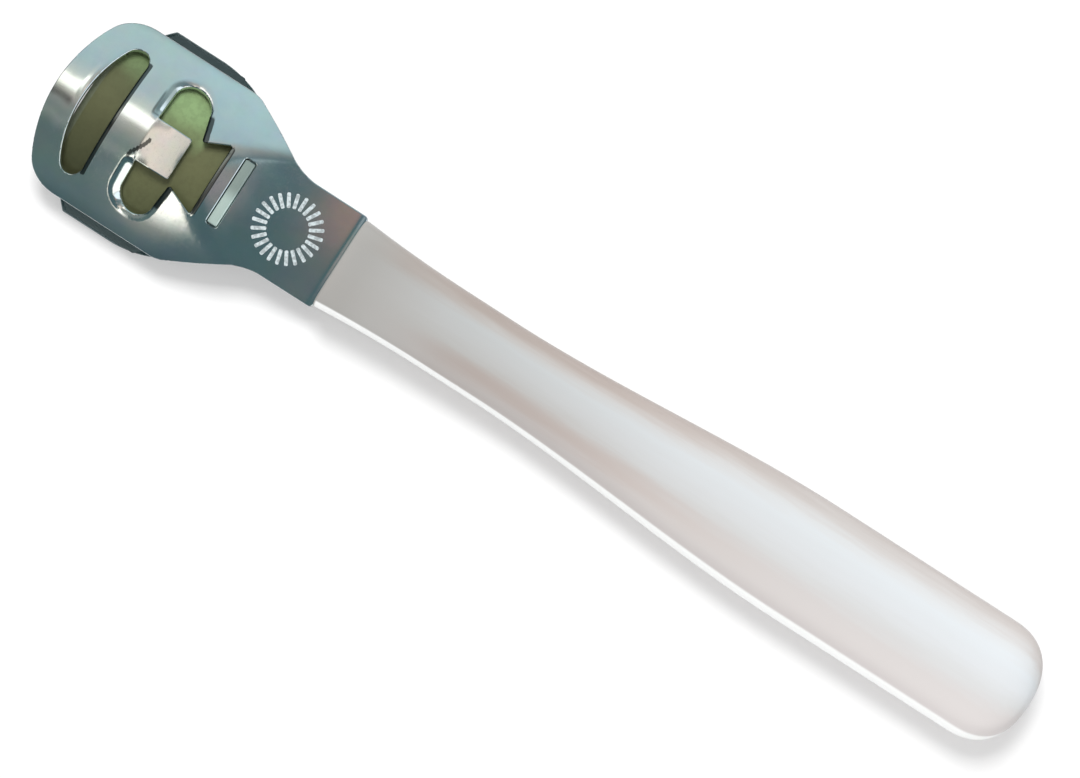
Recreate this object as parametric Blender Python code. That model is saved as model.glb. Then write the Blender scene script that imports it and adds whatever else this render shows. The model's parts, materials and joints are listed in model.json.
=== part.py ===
"""Corn cutter: a curved steel blade holder on a moulded handle.

It lies as it rests on a table, curved face up, with +Z up and +X towards the handle's end.
The origin is on the table, under the middle of its length and width. Sizes are in metres.
"""
import math

import bmesh
import bpy
from mathutils import Vector

# Lengths along the tool
HEAD_LENGTH = 0.0457
HANDLE_LENGTH = 0.1123
TANG_LENGTH = 0.032

# Sheet metal and the room between the sheets
HEAD_SHEET = 0.0008
BLADE_SHEET = 0.0003
BASE_SHEET = 0.0007
GAP = 0.0003
BLADE_DEPTH = 0.0018

# The head plate's outline, as seen from above
HEAD_RADIUS = 0.024
HEAD_HALF_WIDTH = 0.0134
TIP_RADIUS = 0.028
TIP_CORNER_RADIUS = 0.0055
SHOULDER_FROM_TIP = 0.024
SHOULDER_RADIUS = 0.0035
TAPER_LENGTH = 0.011
NECK_HALF_WIDTH = 0.00735
NECK_FILLET = 0.008
NECK_END_RADIUS = 0.0012
TANG_HALF_WIDTH = 0.0034

# The neck slopes down from the head's crest to the level tang
NECK_BEND_FROM_TIP = 0.0223
TANG_BEND_BEFORE_JOINT = 0.0008
TANG_TOP = 0.00495
BEND_SOFTNESS = 0.0005
TIP_CURL = 0.0005
TIP_CURL_LENGTH = 0.003

# The mouth, cut parallel to the tip
LIP_WIDTH = 0.004
MOUTH_WIDTH = 0.0056
MOUTH_HALF_LENGTH = 0.0099
MOUTH_CORNER_RADIUS = 0.0018
MOUTH_CORNER_LEAN = 0.0008

# The cut-out: a lobe on either side of the tongue, then a fan
BRIDGE_WIDTH = 0.0044
LOBE_WIDTH = 0.0072
LOBE_HALF_SPAN = 0.0103
LOBE_RADIUS = 0.0034
TONGUE_LENGTH = 0.0062
TONGUE_HALF_WIDTH = 0.0033
TONGUE_BEND_LENGTH = 0.0016
WAIST_HALF_WIDTH = 0.0037
FAN_LENGTH = 0.0044
FAN_HALF_WIDTH = 0.0055
SMALL_FILLET = 0.0004

# The rear slot and the base plate's tab in it
REAR_SLOT_BRIDGE = 0.0023
TAB_INSET = 0.0005
TAB_THICKNESS = 0.0006
TAB_SIDE_ROOM = 0.00035
TAB_PROUD = 0.0001
SLOT_CORNER_RADIUS = 0.0005

# The blade: its corners lie inside the head's sides, and its end tabs stick out of them
EDGE_BEHIND_LIP = 0.0001
BLADE_BEHIND_FAN = 0.0002
BLADE_CORNER_INSET = 0.0022
END_TAB_WIDTH = 0.0108
END_TAB_FLANK = 0.0035
END_TAB_PROUD = 0.00105
HONED_WIDTH = 0.0009
HONED_EDGE = 0.00006

# The base plate: its wings reach a little past the blade's end tabs, and the tool rests on them
EDGE_REVEAL = 0.0017
BASE_CORNER_INSET = 0.0029
WING_MARGIN = 0.0004
WING_LEAD = 0.0008
WING_CORNER_RADIUS = 0.012
WING_TAPER = 0.7
LEAF_INSET = 0.00185
LEAF_LENGTH = 0.0138
JOGGLE_LENGTH = 0.0018
PLATE_CORNER = 0.0012

# The handle
JOINT_HALF_WIDTH = 0.00695
WAIST_HALF = 0.00585
BELLY_HALF = 0.0089
FLARE_LENGTH = 0.017
WAIST_END = 0.025
BELLY_START = 0.076
END_ROUNDING = 0.0078
JOINT_TOP = 0.009
BELLY_TOP = 0.0096
JOINT_BOTTOM = 0.0010
FLAT_CUT = 0.0005
FRONT_EDGE = 0.0004
FRONT_SQUARENESS = 5.0
REAR_SQUARENESS = 2.6
END_WIDTH_POWER = 2.4
END_HEIGHT_POWER = 3.0

# Places that follow from the sizes
TIP_X = -(HEAD_LENGTH + HANDLE_LENGTH) / 2
JOINT_X = TIP_X + HEAD_LENGTH
BASE_DEPTH = BLADE_DEPTH + BLADE_SHEET + GAP
BASE_RADIUS = HEAD_RADIUS - BASE_DEPTH
BLADE_HALF_SPAN = HEAD_HALF_WIDTH - BLADE_CORNER_INSET
END_TAB_HALF_SPAN = HEAD_HALF_WIDTH + END_TAB_PROUD
BASE_HALF_SPAN = HEAD_HALF_WIDTH - BASE_CORNER_INSET
WING_ANGLE = math.asin((END_TAB_HALF_SPAN + WING_MARGIN) / BASE_RADIUS)
AXIS_Z = -(BASE_RADIUS - BASE_SHEET) * math.cos(WING_ANGLE)
CREST_Z = AXIS_Z + HEAD_RADIUS
NECK_BEND_X = TIP_X + NECK_BEND_FROM_TIP
NECK_SLOPE = (CREST_Z - TANG_TOP) / (JOINT_X - TANG_BEND_BEFORE_JOINT - NECK_BEND_X)
LEAF_HALF_WIDTH = NECK_HALF_WIDTH - LEAF_INSET
TAB_LENGTH = 2 * (LEAF_HALF_WIDTH - TAB_INSET)
MOUTH_REAR_X = TIP_X + LIP_WIDTH + MOUTH_WIDTH
LOBE_FRONT_X = MOUTH_REAR_X + BRIDGE_WIDTH
LOBE_REAR_X = LOBE_FRONT_X + LOBE_WIDTH
TONGUE_END_X = LOBE_FRONT_X + TONGUE_LENGTH
FAN_REAR_X = LOBE_REAR_X + FAN_LENGTH
TAB_X = FAN_REAR_X + REAR_SLOT_BRIDGE + TAB_SIDE_ROOM + TAB_THICKNESS / 2
BLADE_FRONT_X = TIP_X + LIP_WIDTH + EDGE_BEHIND_LIP
BLADE_REAR_X = FAN_REAR_X + BLADE_BEHIND_FAN
BLADE_MIDDLE_X = (BLADE_FRONT_X + BLADE_REAR_X) / 2
TONGUE_DIP = BLADE_DEPTH - GAP - HEAD_SHEET

# How finely the sheets are divided before they are bent, and the handle along and around
GRID_STEP = 0.0014
ARC_STEP = math.radians(15)
TIP_ARC_STEPS = 5
MOUTH_ARC_STEPS = 4
RING_POINTS = 40
BODY_STEPS = 22
END_STEPS = 9
SHARP_ANGLE = math.radians(35)

# Points closer than this are one point, and slopes are measured over this step
MERGE_DISTANCE = 1e-6
PROBE_STEP = 1e-5

PART_COLLECTION = "corn_cutter"
CUTTER_COLLECTION = "cutters"


def smooth(t):
    """Ease from 0 to 1."""
    t = min(max(t, 0.0), 1.0)
    return t * t * (3 - 2 * t)


def soft_min(a, b, softness):
    """The smaller of two heights, with the crease between them rounded."""
    h = min(max(0.5 + (b - a) / (2 * softness), 0.0), 1.0)
    return b + (a - b) * h - softness * h * (1 - h)


def soft_max(a, b, softness):
    return -soft_min(-a, -b, softness)


def on_arc(half_span, radius):
    """The length along a curved sheet that spans half_span in the view from above."""
    return radius * math.asin(half_span / radius)


def rounded(corners):
    """An outline from corners (x, y, fillet radius), with the fillets as arcs."""
    points = []
    count = len(corners)
    for i, (x, y, radius) in enumerate(corners):
        here = Vector((x, y))
        if radius == 0:
            points.append(here)
            continue
        before = Vector(corners[i - 1][:2]) - here
        after = Vector(corners[(i + 1) % count][:2]) - here
        half_angle = before.angle(after) / 2
        before.normalize()
        after.normalize()
        reach = radius / math.tan(half_angle)
        start = here + before * reach
        end = here + after * reach
        middle = here + (before + after).normalized() * radius / math.sin(half_angle)
        arm = start - middle
        turn = arm.angle_signed(end - middle)
        steps = max(2, math.ceil(abs(turn) / ARC_STEP))
        for k in range(steps + 1):
            angle = -turn * k / steps
            points.append(middle + Vector((
                arm.x * math.cos(angle) - arm.y * math.sin(angle),
                arm.x * math.sin(angle) + arm.y * math.cos(angle),
            )))
    return points


def mirrored(half):
    """A closed outline from its half at y >= 0, given from front to rear."""
    return half + [(x, -y, r) for x, y, r in reversed(half)]


def new_object(name, mesh, collection=PART_COLLECTION):
    obj = bpy.data.objects.new(name, mesh)
    bpy.data.collections[collection].objects.link(obj)
    return obj


def prism(name, outline, half_height):
    """An upright solid over a flat outline."""
    curve = bpy.data.curves.new(name, "CURVE")
    curve.dimensions = "2D"
    curve.fill_mode = "BOTH"
    curve.extrude = half_height
    spline = curve.splines.new("POLY")
    spline.points.add(len(outline) - 1)
    for point, place in zip(spline.points, outline):
        point.co = (place.x, place.y, 0, 1)
    spline.use_cyclic_u = True
    guide = new_object(name, curve, CUTTER_COLLECTION)
    bpy.context.view_layer.update()
    mesh = bpy.data.meshes.new_from_object(guide.evaluated_get(bpy.context.evaluated_depsgraph_get()))
    bpy.data.objects.remove(guide)
    bm = bmesh.new()
    bm.from_mesh(mesh)
    bmesh.ops.remove_doubles(bm, verts=bm.verts, dist=MERGE_DISTANCE)
    bmesh.ops.recalc_face_normals(bm, faces=bm.faces)
    bm.to_mesh(mesh)
    bm.free()
    return new_object(name, mesh, CUTTER_COLLECTION)


def box(name, size, centre):
    """A box among the cutters, for a Boolean."""
    mesh = bpy.data.meshes.new(name)
    bm = bmesh.new()
    bmesh.ops.create_cube(bm, size=1)
    bmesh.ops.scale(bm, vec=size, verts=bm.verts)
    bmesh.ops.translate(bm, vec=centre, verts=bm.verts)
    bm.to_mesh(mesh)
    bm.free()
    obj = new_object(name, mesh, CUTTER_COLLECTION)
    obj.hide_render = True
    obj.display_type = "WIRE"
    return obj


def stamped(name, outline, holes, sheet):
    """A flat blank with holes, divided in a grid so that it can be bent."""
    xs = [p.x for p in outline]
    ys = [p.y for p in outline]
    length = max(xs) - min(xs) + GRID_STEP
    width = max(ys) - min(ys) + GRID_STEP
    columns = round(length / GRID_STEP)
    rows = 2 * round(width / GRID_STEP / 2)
    bm = bmesh.new()
    bmesh.ops.create_grid(bm, x_segments=columns, y_segments=rows, size=0.5)
    bmesh.ops.scale(bm, vec=(length, width, 1), verts=bm.verts)
    centre = ((max(xs) + min(xs)) / 2, (max(ys) + min(ys)) / 2, -sheet / 2)
    bmesh.ops.translate(bm, vec=centre, verts=bm.verts)
    lifted = bmesh.ops.extrude_face_region(bm, geom=bm.faces[:])
    top = [v for v in lifted["geom"] if isinstance(v, bmesh.types.BMVert)]
    bmesh.ops.translate(bm, vec=(0, 0, sheet), verts=top)
    bmesh.ops.recalc_face_normals(bm, faces=bm.faces)
    mesh = bpy.data.meshes.new(name)
    bm.to_mesh(mesh)
    bm.free()
    blank = new_object(name + "_blank", mesh, CUTTER_COLLECTION)
    cutters = []
    for i, shape in enumerate([outline] + holes):
        cutter = prism(f"{name}_cutter_{i}", shape, 2 * sheet)
        boolean = blank.modifiers.new(cutter.name, "BOOLEAN")
        boolean.operation = "INTERSECT" if i == 0 else "DIFFERENCE"
        boolean.object = cutter
        cutters.append(cutter)
    bpy.context.view_layer.update()
    result = bpy.data.meshes.new_from_object(blank.evaluated_get(bpy.context.evaluated_depsgraph_get()))
    for used in [blank] + cutters:
        bpy.data.objects.remove(used)
    return result


def bent(mesh, form, name):
    """Move each vertex of a flat blank by form(x, along, depth) and name the mesh."""
    bm = bmesh.new()
    bm.from_mesh(mesh)
    bmesh.ops.remove_doubles(bm, verts=bm.verts, dist=MERGE_DISTANCE)
    bmesh.ops.triangulate(bm, faces=bm.faces)
    top = max(v.co.z for v in bm.verts)
    for v in bm.verts:
        v.co = form(v.co.x, v.co.y, top - v.co.z)
    bmesh.ops.recalc_face_normals(bm, faces=bm.faces)
    bm.to_mesh(mesh)
    bm.free()
    mesh.name = name
    return mesh


def below(surface, x, y, depth):
    """The point at a depth under a surface, measured square to it."""
    step = PROBE_STEP
    slope_x = (surface(x + step, y) - surface(x - step, y)) / (2 * step)
    slope_y = (surface(x, y + step) - surface(x, y - step)) / (2 * step)
    normal = Vector((-slope_x, -slope_y, 1)).normalized()
    return Vector((x, y, surface(x, y))) - normal * depth


def barrel_height(y, radius):
    """The height of a sheet curved round the head's long axis."""
    return AXIS_Z + math.sqrt(max(radius * radius - y * y, 0.0))


def plate_surface(x, y):
    """The head plate's upper face: a barrel in front, then the sloping neck, then the level tang."""
    slope = CREST_Z - NECK_SLOPE * (x - NECK_BEND_X)
    neck = soft_max(slope, TANG_TOP, BEND_SOFTNESS)
    curl = TIP_CURL * (1 - smooth((x - TIP_X) / TIP_CURL_LENGTH))
    return soft_min(barrel_height(y, HEAD_RADIUS), neck, BEND_SOFTNESS) - curl


def flattening(x):
    """0 where the sheets are fully curved, 1 where they lie flat across."""
    start = TIP_X + SHOULDER_FROM_TIP
    return smooth((x - start) / TAPER_LENGTH)


def across(x, along, radius):
    """How far to the side a point ends up when the flat blank is curved."""
    curved = radius * math.sin(along / radius)
    return curved + (along - curved) * flattening(x)


def form_head(x, along, depth):
    y = across(x, along, HEAD_RADIUS)
    on_tongue = LOBE_FRONT_X < x < LOBE_REAR_X and abs(along) < TONGUE_HALF_WIDTH + SMALL_FILLET / 2
    dip = TONGUE_DIP * smooth((x - LOBE_FRONT_X) / TONGUE_BEND_LENGTH) if on_tongue else 0.0
    return below(plate_surface, x, y, depth + dip)


def base_surface(x, y):
    """The base plate's upper face: a barrel under the blade, then close under the neck."""
    joggle = smooth((x - BLADE_REAR_X) / JOGGLE_LENGTH)
    leaf = plate_surface(x, y) - HEAD_SHEET - GAP
    barrel = barrel_height(y, BASE_RADIUS)
    return barrel + (leaf - barrel) * joggle


def form_base(x, along, depth):
    joggle = smooth((x - BLADE_REAR_X) / JOGGLE_LENGTH)
    curved = BASE_RADIUS * math.sin(along / BASE_RADIUS)
    return below(base_surface, x, curved + (along - curved) * joggle, depth)


def form_blade(x, along, depth):
    """Curve the blade round its sliding axis, and thin it towards its two honed edges."""
    from_edge = min(x - BLADE_FRONT_X, BLADE_REAR_X - x)
    share = min(from_edge / HONED_WIDTH, 1.0)
    thickness = HONED_EDGE + (BLADE_SHEET - HONED_EDGE) * share
    middle = BLADE_SHEET / 2
    sheet_depth = middle + (depth - middle) * thickness / BLADE_SHEET
    radius = HEAD_RADIUS - BLADE_DEPTH
    angle = along / radius
    reach = radius - sheet_depth
    return Vector((x - BLADE_MIDDLE_X, reach * math.sin(angle), reach * math.cos(angle)))


def head_outline():
    """The blank of the head, neck and tang, before it is bent."""
    side = on_arc(HEAD_HALF_WIDTH, HEAD_RADIUS)
    corner_y = side - TIP_CORNER_RADIUS
    corner_x = TIP_RADIUS - math.sqrt((TIP_RADIUS - TIP_CORNER_RADIUS) ** 2 - corner_y ** 2)
    tangent = math.atan2(corner_y, TIP_RADIUS - corner_x)
    tip = []
    for k in range(TIP_ARC_STEPS + 1):
        angle = tangent * k / TIP_ARC_STEPS
        tip.append((TIP_X + TIP_RADIUS * (1 - math.cos(angle)), TIP_RADIUS * math.sin(angle), 0))
    corner_steps = math.ceil((math.pi / 2 - tangent) / ARC_STEP)
    for k in range(1, corner_steps + 1):
        angle = tangent + (math.pi / 2 - tangent) * k / corner_steps
        tip.append((
            TIP_X + corner_x - TIP_CORNER_RADIUS * math.cos(angle),
            corner_y + TIP_CORNER_RADIUS * math.sin(angle),
            0,
        ))
    shoulder_x = TIP_X + SHOULDER_FROM_TIP
    neck_end = JOINT_X - GAP
    tang_end = JOINT_X + TANG_LENGTH
    half = tip + [
        (shoulder_x, side, SHOULDER_RADIUS),
        (shoulder_x + TAPER_LENGTH, NECK_HALF_WIDTH, NECK_FILLET),
        (neck_end, NECK_HALF_WIDTH, NECK_END_RADIUS),
        (neck_end, TANG_HALF_WIDTH, 0),
        (tang_end, TANG_HALF_WIDTH, TANG_HALF_WIDTH / 2),
    ]
    return rounded(half + [(x, -y, r) for x, y, r in reversed(half[1:])])


def mouth_outline():
    """The mouth: its front edge follows the tip's arc and its rear edge is straight."""
    end = on_arc(MOUTH_HALF_LENGTH, HEAD_RADIUS)
    lip_radius = TIP_RADIUS - LIP_WIDTH
    reach = math.asin((end - MOUTH_CORNER_RADIUS) / lip_radius)
    half = []
    for k in range(MOUTH_ARC_STEPS + 1):
        angle = reach * k / MOUTH_ARC_STEPS
        half.append((TIP_X + TIP_RADIUS - lip_radius * math.cos(angle), lip_radius * math.sin(angle), 0))
    half += [
        (half[-1][0] + MOUTH_CORNER_LEAN, end, MOUTH_CORNER_RADIUS),
        (MOUTH_REAR_X, end, MOUTH_CORNER_RADIUS),
    ]
    return rounded(half + [(x, -y, r) for x, y, r in reversed(half[1:])])


def cutout_outline():
    """A round lobe on either side of the tongue, and a fan behind it."""
    span = on_arc(LOBE_HALF_SPAN, HEAD_RADIUS)
    fan = on_arc(FAN_HALF_WIDTH, HEAD_RADIUS)
    half = [
        (TONGUE_END_X, TONGUE_HALF_WIDTH, SMALL_FILLET),
        (LOBE_FRONT_X, TONGUE_HALF_WIDTH, SMALL_FILLET / 2),
        (LOBE_FRONT_X, span, LOBE_RADIUS),
        (LOBE_REAR_X, span, LOBE_RADIUS),
        (LOBE_REAR_X, WAIST_HALF_WIDTH, SMALL_FILLET),
        (FAN_REAR_X, fan, SMALL_FILLET / 2),
    ]
    return rounded(mirrored(half))


def rear_slot_outline():
    half_width = TAB_THICKNESS / 2 + TAB_SIDE_ROOM
    half_length = TAB_LENGTH / 2 + GAP
    return rounded(mirrored([
        (TAB_X - half_width, half_length, SLOT_CORNER_RADIUS),
        (TAB_X + half_width, half_length, SLOT_CORNER_RADIUS),
    ]))


def make_head_plate():
    holes = [mouth_outline(), cutout_outline(), rear_slot_outline()]
    blank = stamped("head_plate", head_outline(), holes, HEAD_SHEET)
    plate = new_object("head_plate", bent(blank, form_head, "head_plate"))
    finish(plate, "head_steel", (0.62, 0.68, 0.72), 0.22, 1.0)
    return plate


def make_blade():
    """The double-edged blade. Its origin is on the axis that it slides round."""
    radius = HEAD_RADIUS - BLADE_DEPTH
    span = on_arc(BLADE_HALF_SPAN, radius)
    tab_span = on_arc(END_TAB_HALF_SPAN, radius)
    tab_front = BLADE_MIDDLE_X - END_TAB_WIDTH / 2
    tab_rear = BLADE_MIDDLE_X + END_TAB_WIDTH / 2
    outline = rounded(mirrored([
        (BLADE_FRONT_X, span, SMALL_FILLET),
        (tab_front - END_TAB_FLANK, span, SMALL_FILLET),
        (tab_front, tab_span, SMALL_FILLET),
        (tab_rear, tab_span, SMALL_FILLET),
        (tab_rear + END_TAB_FLANK, span, SMALL_FILLET),
        (BLADE_REAR_X, span, SMALL_FILLET),
    ]))
    blank = stamped("blade", outline, [], BLADE_SHEET)
    blade = new_object("blade", bent(blank, form_blade, "blade"))
    blade.location = (BLADE_MIDDLE_X, 0, AXIS_Z)
    finish(blade, "blade_steel", (0.50, 0.50, 0.30), 0.2, 1.0)
    return blade


def make_base_plate():
    """The plate under the blade, with a leaf under the neck and a tab up through the rear slot."""
    front = BLADE_FRONT_X + EDGE_REVEAL
    span = on_arc(BASE_HALF_SPAN, BASE_RADIUS)
    wing = BASE_RADIUS * WING_ANGLE
    wing_front = BLADE_MIDDLE_X - END_TAB_WIDTH / 2 - WING_LEAD
    wing_rear = BLADE_MIDDLE_X + END_TAB_WIDTH / 2
    rear = BLADE_REAR_X - GAP
    outline = rounded(mirrored([
        (front, span, PLATE_CORNER),
        (wing_front, wing, SMALL_FILLET),
        (wing_rear, wing, WING_CORNER_RADIUS),
        (rear, wing - WING_TAPER * (rear - wing_rear), PLATE_CORNER),
        (rear, LEAF_HALF_WIDTH, SMALL_FILLET),
        (BLADE_REAR_X + LEAF_LENGTH, LEAF_HALF_WIDTH, PLATE_CORNER),
    ]))
    blank = stamped("base_plate", outline, [], BASE_SHEET)
    plate = new_object("base_plate", bent(blank, form_base, "base_plate"))
    top = plate_surface(TAB_X, 0) + TAB_PROUD
    bottom = base_surface(TAB_X, TAB_LENGTH / 2) - BASE_SHEET / 2
    tab = box("tab_body", (TAB_THICKNESS, TAB_LENGTH, top - bottom), (TAB_X, 0, (top + bottom) / 2))
    union = plate.modifiers.new("tab", "BOOLEAN")
    union.operation = "UNION"
    union.object = tab
    finish(plate, "base_steel", (0.55, 0.60, 0.62), 0.28, 1.0)
    return plate


def handle_ring(distance):
    """One section of the handle at a distance behind the joint, as a closed loop of points."""
    belly = smooth((distance - WAIST_END) / (BELLY_START - WAIST_END))
    flare = (1 - min(distance / FLARE_LENGTH, 1.0)) ** 2
    half = WAIST_HALF + (JOINT_HALF_WIDTH - WAIST_HALF) * flare + (BELLY_HALF - WAIST_HALF) * belly
    lowering = smooth(distance / WAIST_END)
    top = JOINT_TOP + (BELLY_TOP - JOINT_TOP) * belly
    bottom = JOINT_BOTTOM - (JOINT_BOTTOM + FLAT_CUT) * lowering
    softening = smooth(distance / (2 * FLARE_LENGTH))
    squareness = FRONT_SQUARENESS + (REAR_SQUARENESS - FRONT_SQUARENESS) * softening
    into_end = max(0.0, distance - (HANDLE_LENGTH - END_ROUNDING)) / END_ROUNDING
    half *= (1 - into_end ** END_WIDTH_POWER) ** (1 / END_WIDTH_POWER)
    height = (top - bottom) / 2 * (1 - into_end ** END_HEIGHT_POWER) ** (1 / END_HEIGHT_POWER)
    edge = max(0.0, FRONT_EDGE - distance)
    half -= edge
    height -= edge
    middle = (top + bottom) / 2
    ring = []
    for k in range(RING_POINTS):
        angle = 2 * math.pi * (k + 0.5) / RING_POINTS
        sideways = math.cos(angle)
        upwards = math.sin(angle)
        ring.append(Vector((
            JOINT_X + distance,
            half * math.copysign(abs(sideways) ** (2 / squareness), sideways),
            middle + height * math.copysign(abs(upwards) ** (2 / squareness), upwards),
        )))
    return ring


def handle_stations():
    """How far behind the joint each section of the handle lies."""
    body = HANDLE_LENGTH - END_ROUNDING
    stations = [0.0]
    for k in range(BODY_STEPS + 1):
        stations.append(FRONT_EDGE + (body - FRONT_EDGE) * k / BODY_STEPS)
    for k in range(1, END_STEPS):
        stations.append(body + END_ROUNDING * math.sin(math.pi / 2 * k / END_STEPS))
    return stations


def make_handle():
    """A loft along the handle, cut flat underneath, with a pocket for the tang."""
    bm = bmesh.new()
    rings = [[bm.verts.new(p) for p in handle_ring(d)] for d in handle_stations()]
    for near, far in zip(rings, rings[1:]):
        for k in range(RING_POINTS):
            after = (k + 1) % RING_POINTS
            bm.faces.new((near[k], near[after], far[after], far[k]))
    bm.faces.new(rings[0])
    end_middle = sum((v.co for v in rings[-1]), Vector()) / RING_POINTS
    pole = bm.verts.new((JOINT_X + HANDLE_LENGTH, 0, end_middle.z))
    for k in range(RING_POINTS):
        bm.faces.new((rings[-1][k], rings[-1][(k + 1) % RING_POINTS], pole))
    bmesh.ops.recalc_face_normals(bm, faces=bm.faces)
    geometry = bm.verts[:] + bm.edges[:] + bm.faces[:]
    down = (0, 0, -1)
    cut = bmesh.ops.bisect_plane(bm, geom=geometry, plane_co=(0, 0, 0), plane_no=down, clear_outer=True)
    rim = [e for e in cut["geom_cut"] if isinstance(e, bmesh.types.BMEdge)]
    bmesh.ops.edgeloop_fill(bm, edges=rim)
    bmesh.ops.recalc_face_normals(bm, faces=bm.faces)
    mesh = bpy.data.meshes.new("handle")
    bm.to_mesh(mesh)
    bm.free()
    handle = new_object("handle", mesh)
    length = TANG_LENGTH + 2 * GAP
    pocket = box(
        "tang_pocket",
        (length, 2 * (TANG_HALF_WIDTH + GAP), HEAD_SHEET + 2 * GAP),
        (JOINT_X - GAP + length / 2, 0, TANG_TOP - HEAD_SHEET / 2),
    )
    cut = handle.modifiers.new("tang_pocket", "BOOLEAN")
    cut.operation = "DIFFERENCE"
    cut.object = pocket
    finish(handle, "handle_plastic", (0.80, 0.80, 0.78), 0.35, 0.0)
    return handle


def finish(obj, material_name, colour, roughness, metallic):
    """Shade an object smooth and give it its own plain material."""
    obj.data.shade_smooth()
    obj.data.set_sharp_from_angle(angle=SHARP_ANGLE)
    material = bpy.data.materials.new(material_name)
    material.use_nodes = True
    surface = material.node_tree.nodes["Principled BSDF"]
    surface.inputs["Base Color"].default_value = (*colour, 1)
    surface.inputs["Roughness"].default_value = roughness
    surface.inputs["Metallic"].default_value = metallic
    obj.data.materials.clear()
    obj.data.materials.append(material)


def main():
    for obj in list(bpy.data.objects):
        bpy.data.objects.remove(obj)
    for name in (PART_COLLECTION, CUTTER_COLLECTION):
        collection = bpy.data.collections.new(name)
        bpy.context.scene.collection.children.link(collection)
    make_head_plate()
    make_blade()
    make_base_plate()
    make_handle()


main()
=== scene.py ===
"""Corn cutter: fine steel stampings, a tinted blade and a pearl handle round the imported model.

Sizes are in metres. The tool lies with its head at -X, its handle's end at +X and its curved face up.
"""

import json
import math

import bmesh
import bpy
from bpy.props import FloatProperty, FloatVectorProperty, IntProperty, PointerProperty
from bpy.types import Operator, Panel, PropertyGroup
from mathutils import Matrix, Vector


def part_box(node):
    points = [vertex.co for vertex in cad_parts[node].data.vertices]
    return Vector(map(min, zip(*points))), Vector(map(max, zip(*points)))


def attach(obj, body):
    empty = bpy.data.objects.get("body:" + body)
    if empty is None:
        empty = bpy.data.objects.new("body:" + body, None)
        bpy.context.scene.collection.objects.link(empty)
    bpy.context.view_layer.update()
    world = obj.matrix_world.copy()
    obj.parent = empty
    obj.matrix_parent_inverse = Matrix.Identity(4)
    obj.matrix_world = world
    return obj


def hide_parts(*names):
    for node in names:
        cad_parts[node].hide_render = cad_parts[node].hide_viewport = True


bl_info = {
    "name": "Corn Cutter",
    "version": (1, 0, 0),
    "blender": (4, 5, 0),
    "location": "3D View > Sidebar > Corn Cutter",
    "description": "Builds a corn cutter's steel head, blade and pearl handle round its frame",
    "category": "Add Mesh",
}

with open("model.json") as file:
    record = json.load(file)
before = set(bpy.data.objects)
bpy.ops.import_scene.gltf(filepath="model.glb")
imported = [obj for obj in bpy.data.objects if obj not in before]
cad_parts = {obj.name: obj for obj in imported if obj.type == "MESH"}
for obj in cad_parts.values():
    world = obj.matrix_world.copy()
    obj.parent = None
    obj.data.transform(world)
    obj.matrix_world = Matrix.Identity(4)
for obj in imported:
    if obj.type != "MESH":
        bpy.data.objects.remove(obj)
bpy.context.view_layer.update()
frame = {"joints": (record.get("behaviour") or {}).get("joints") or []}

# What the frame says
HEAD_LOW, HEAD_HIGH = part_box("head_plate")
BLADE_LOW, BLADE_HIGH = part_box("blade")
BASE_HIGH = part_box("base_plate")[1]
HANDLE_LOW, HANDLE_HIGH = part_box("handle")
SLIDE_AXIS = Vector(frame["joints"][0]["pos_m"])
AXIS_Z = SLIDE_AXIS.z
TIP_X = HEAD_LOW.x
JOINT_X = HANDLE_LOW.x
HANDLE_LENGTH = HANDLE_HIGH.x - HANDLE_LOW.x

# Sheet thicknesses and radii
HEAD_SHEET = 0.0008
BLADE_SHEET = 0.0003
BASE_SHEET = 0.0007
GAP = 0.0003
BLADE_DEPTH = 0.0018
HEAD_RADIUS = HEAD_HIGH.z - AXIS_Z
BLADE_RADIUS = HEAD_RADIUS - BLADE_DEPTH
BASE_RADIUS = BLADE_RADIUS - BLADE_SHEET - GAP

# The head's outline
HEAD_HALF_WIDTH = HEAD_HIGH.y
TIP_RADIUS = 0.028
TIP_CORNER_RADIUS = 0.0055
SHOULDER_X = TIP_X + 0.024
SHOULDER_RADIUS = 0.0035
TAPER_LENGTH = 0.011
NECK_HALF_WIDTH = 0.00735
NECK_FILLET = 0.008
NECK_END_RADIUS = 0.0006
NECK_END_GAP = 0.00004
TANG_HALF_WIDTH = 0.0034
NECK_BEND_X = TIP_X + 0.0223
TANG_BEND_X = JOINT_X - 0.0008
TANG_TOP = 0.00495
NECK_SLOPE = (HEAD_HIGH.z - TANG_TOP) / (TANG_BEND_X - NECK_BEND_X)
BEND_SOFTNESS = 0.0005
TANG_SOFTNESS = 0.00008
TIP_CURL = 0.0005
TIP_CURL_LENGTH = 0.003

# The mouth
LIP_WIDTH = 0.004
MOUTH_WIDTH = 0.0056
MOUTH_REAR_X = TIP_X + LIP_WIDTH + MOUTH_WIDTH
MOUTH_FRONT_TRIM = 0.0002
MOUTH_REAR_TRIM = 0.0004
MOUTH_SHOWN_REAR = MOUTH_REAR_X - MOUTH_REAR_TRIM
MOUTH_MIDDLE_X = TIP_X + 0.0075
MOUTH_HALF_LENGTH = 0.0099
MOUTH_CORNER_RADIUS = 0.0018
MOUTH_CORNER_LEAN = 0.0008

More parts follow.
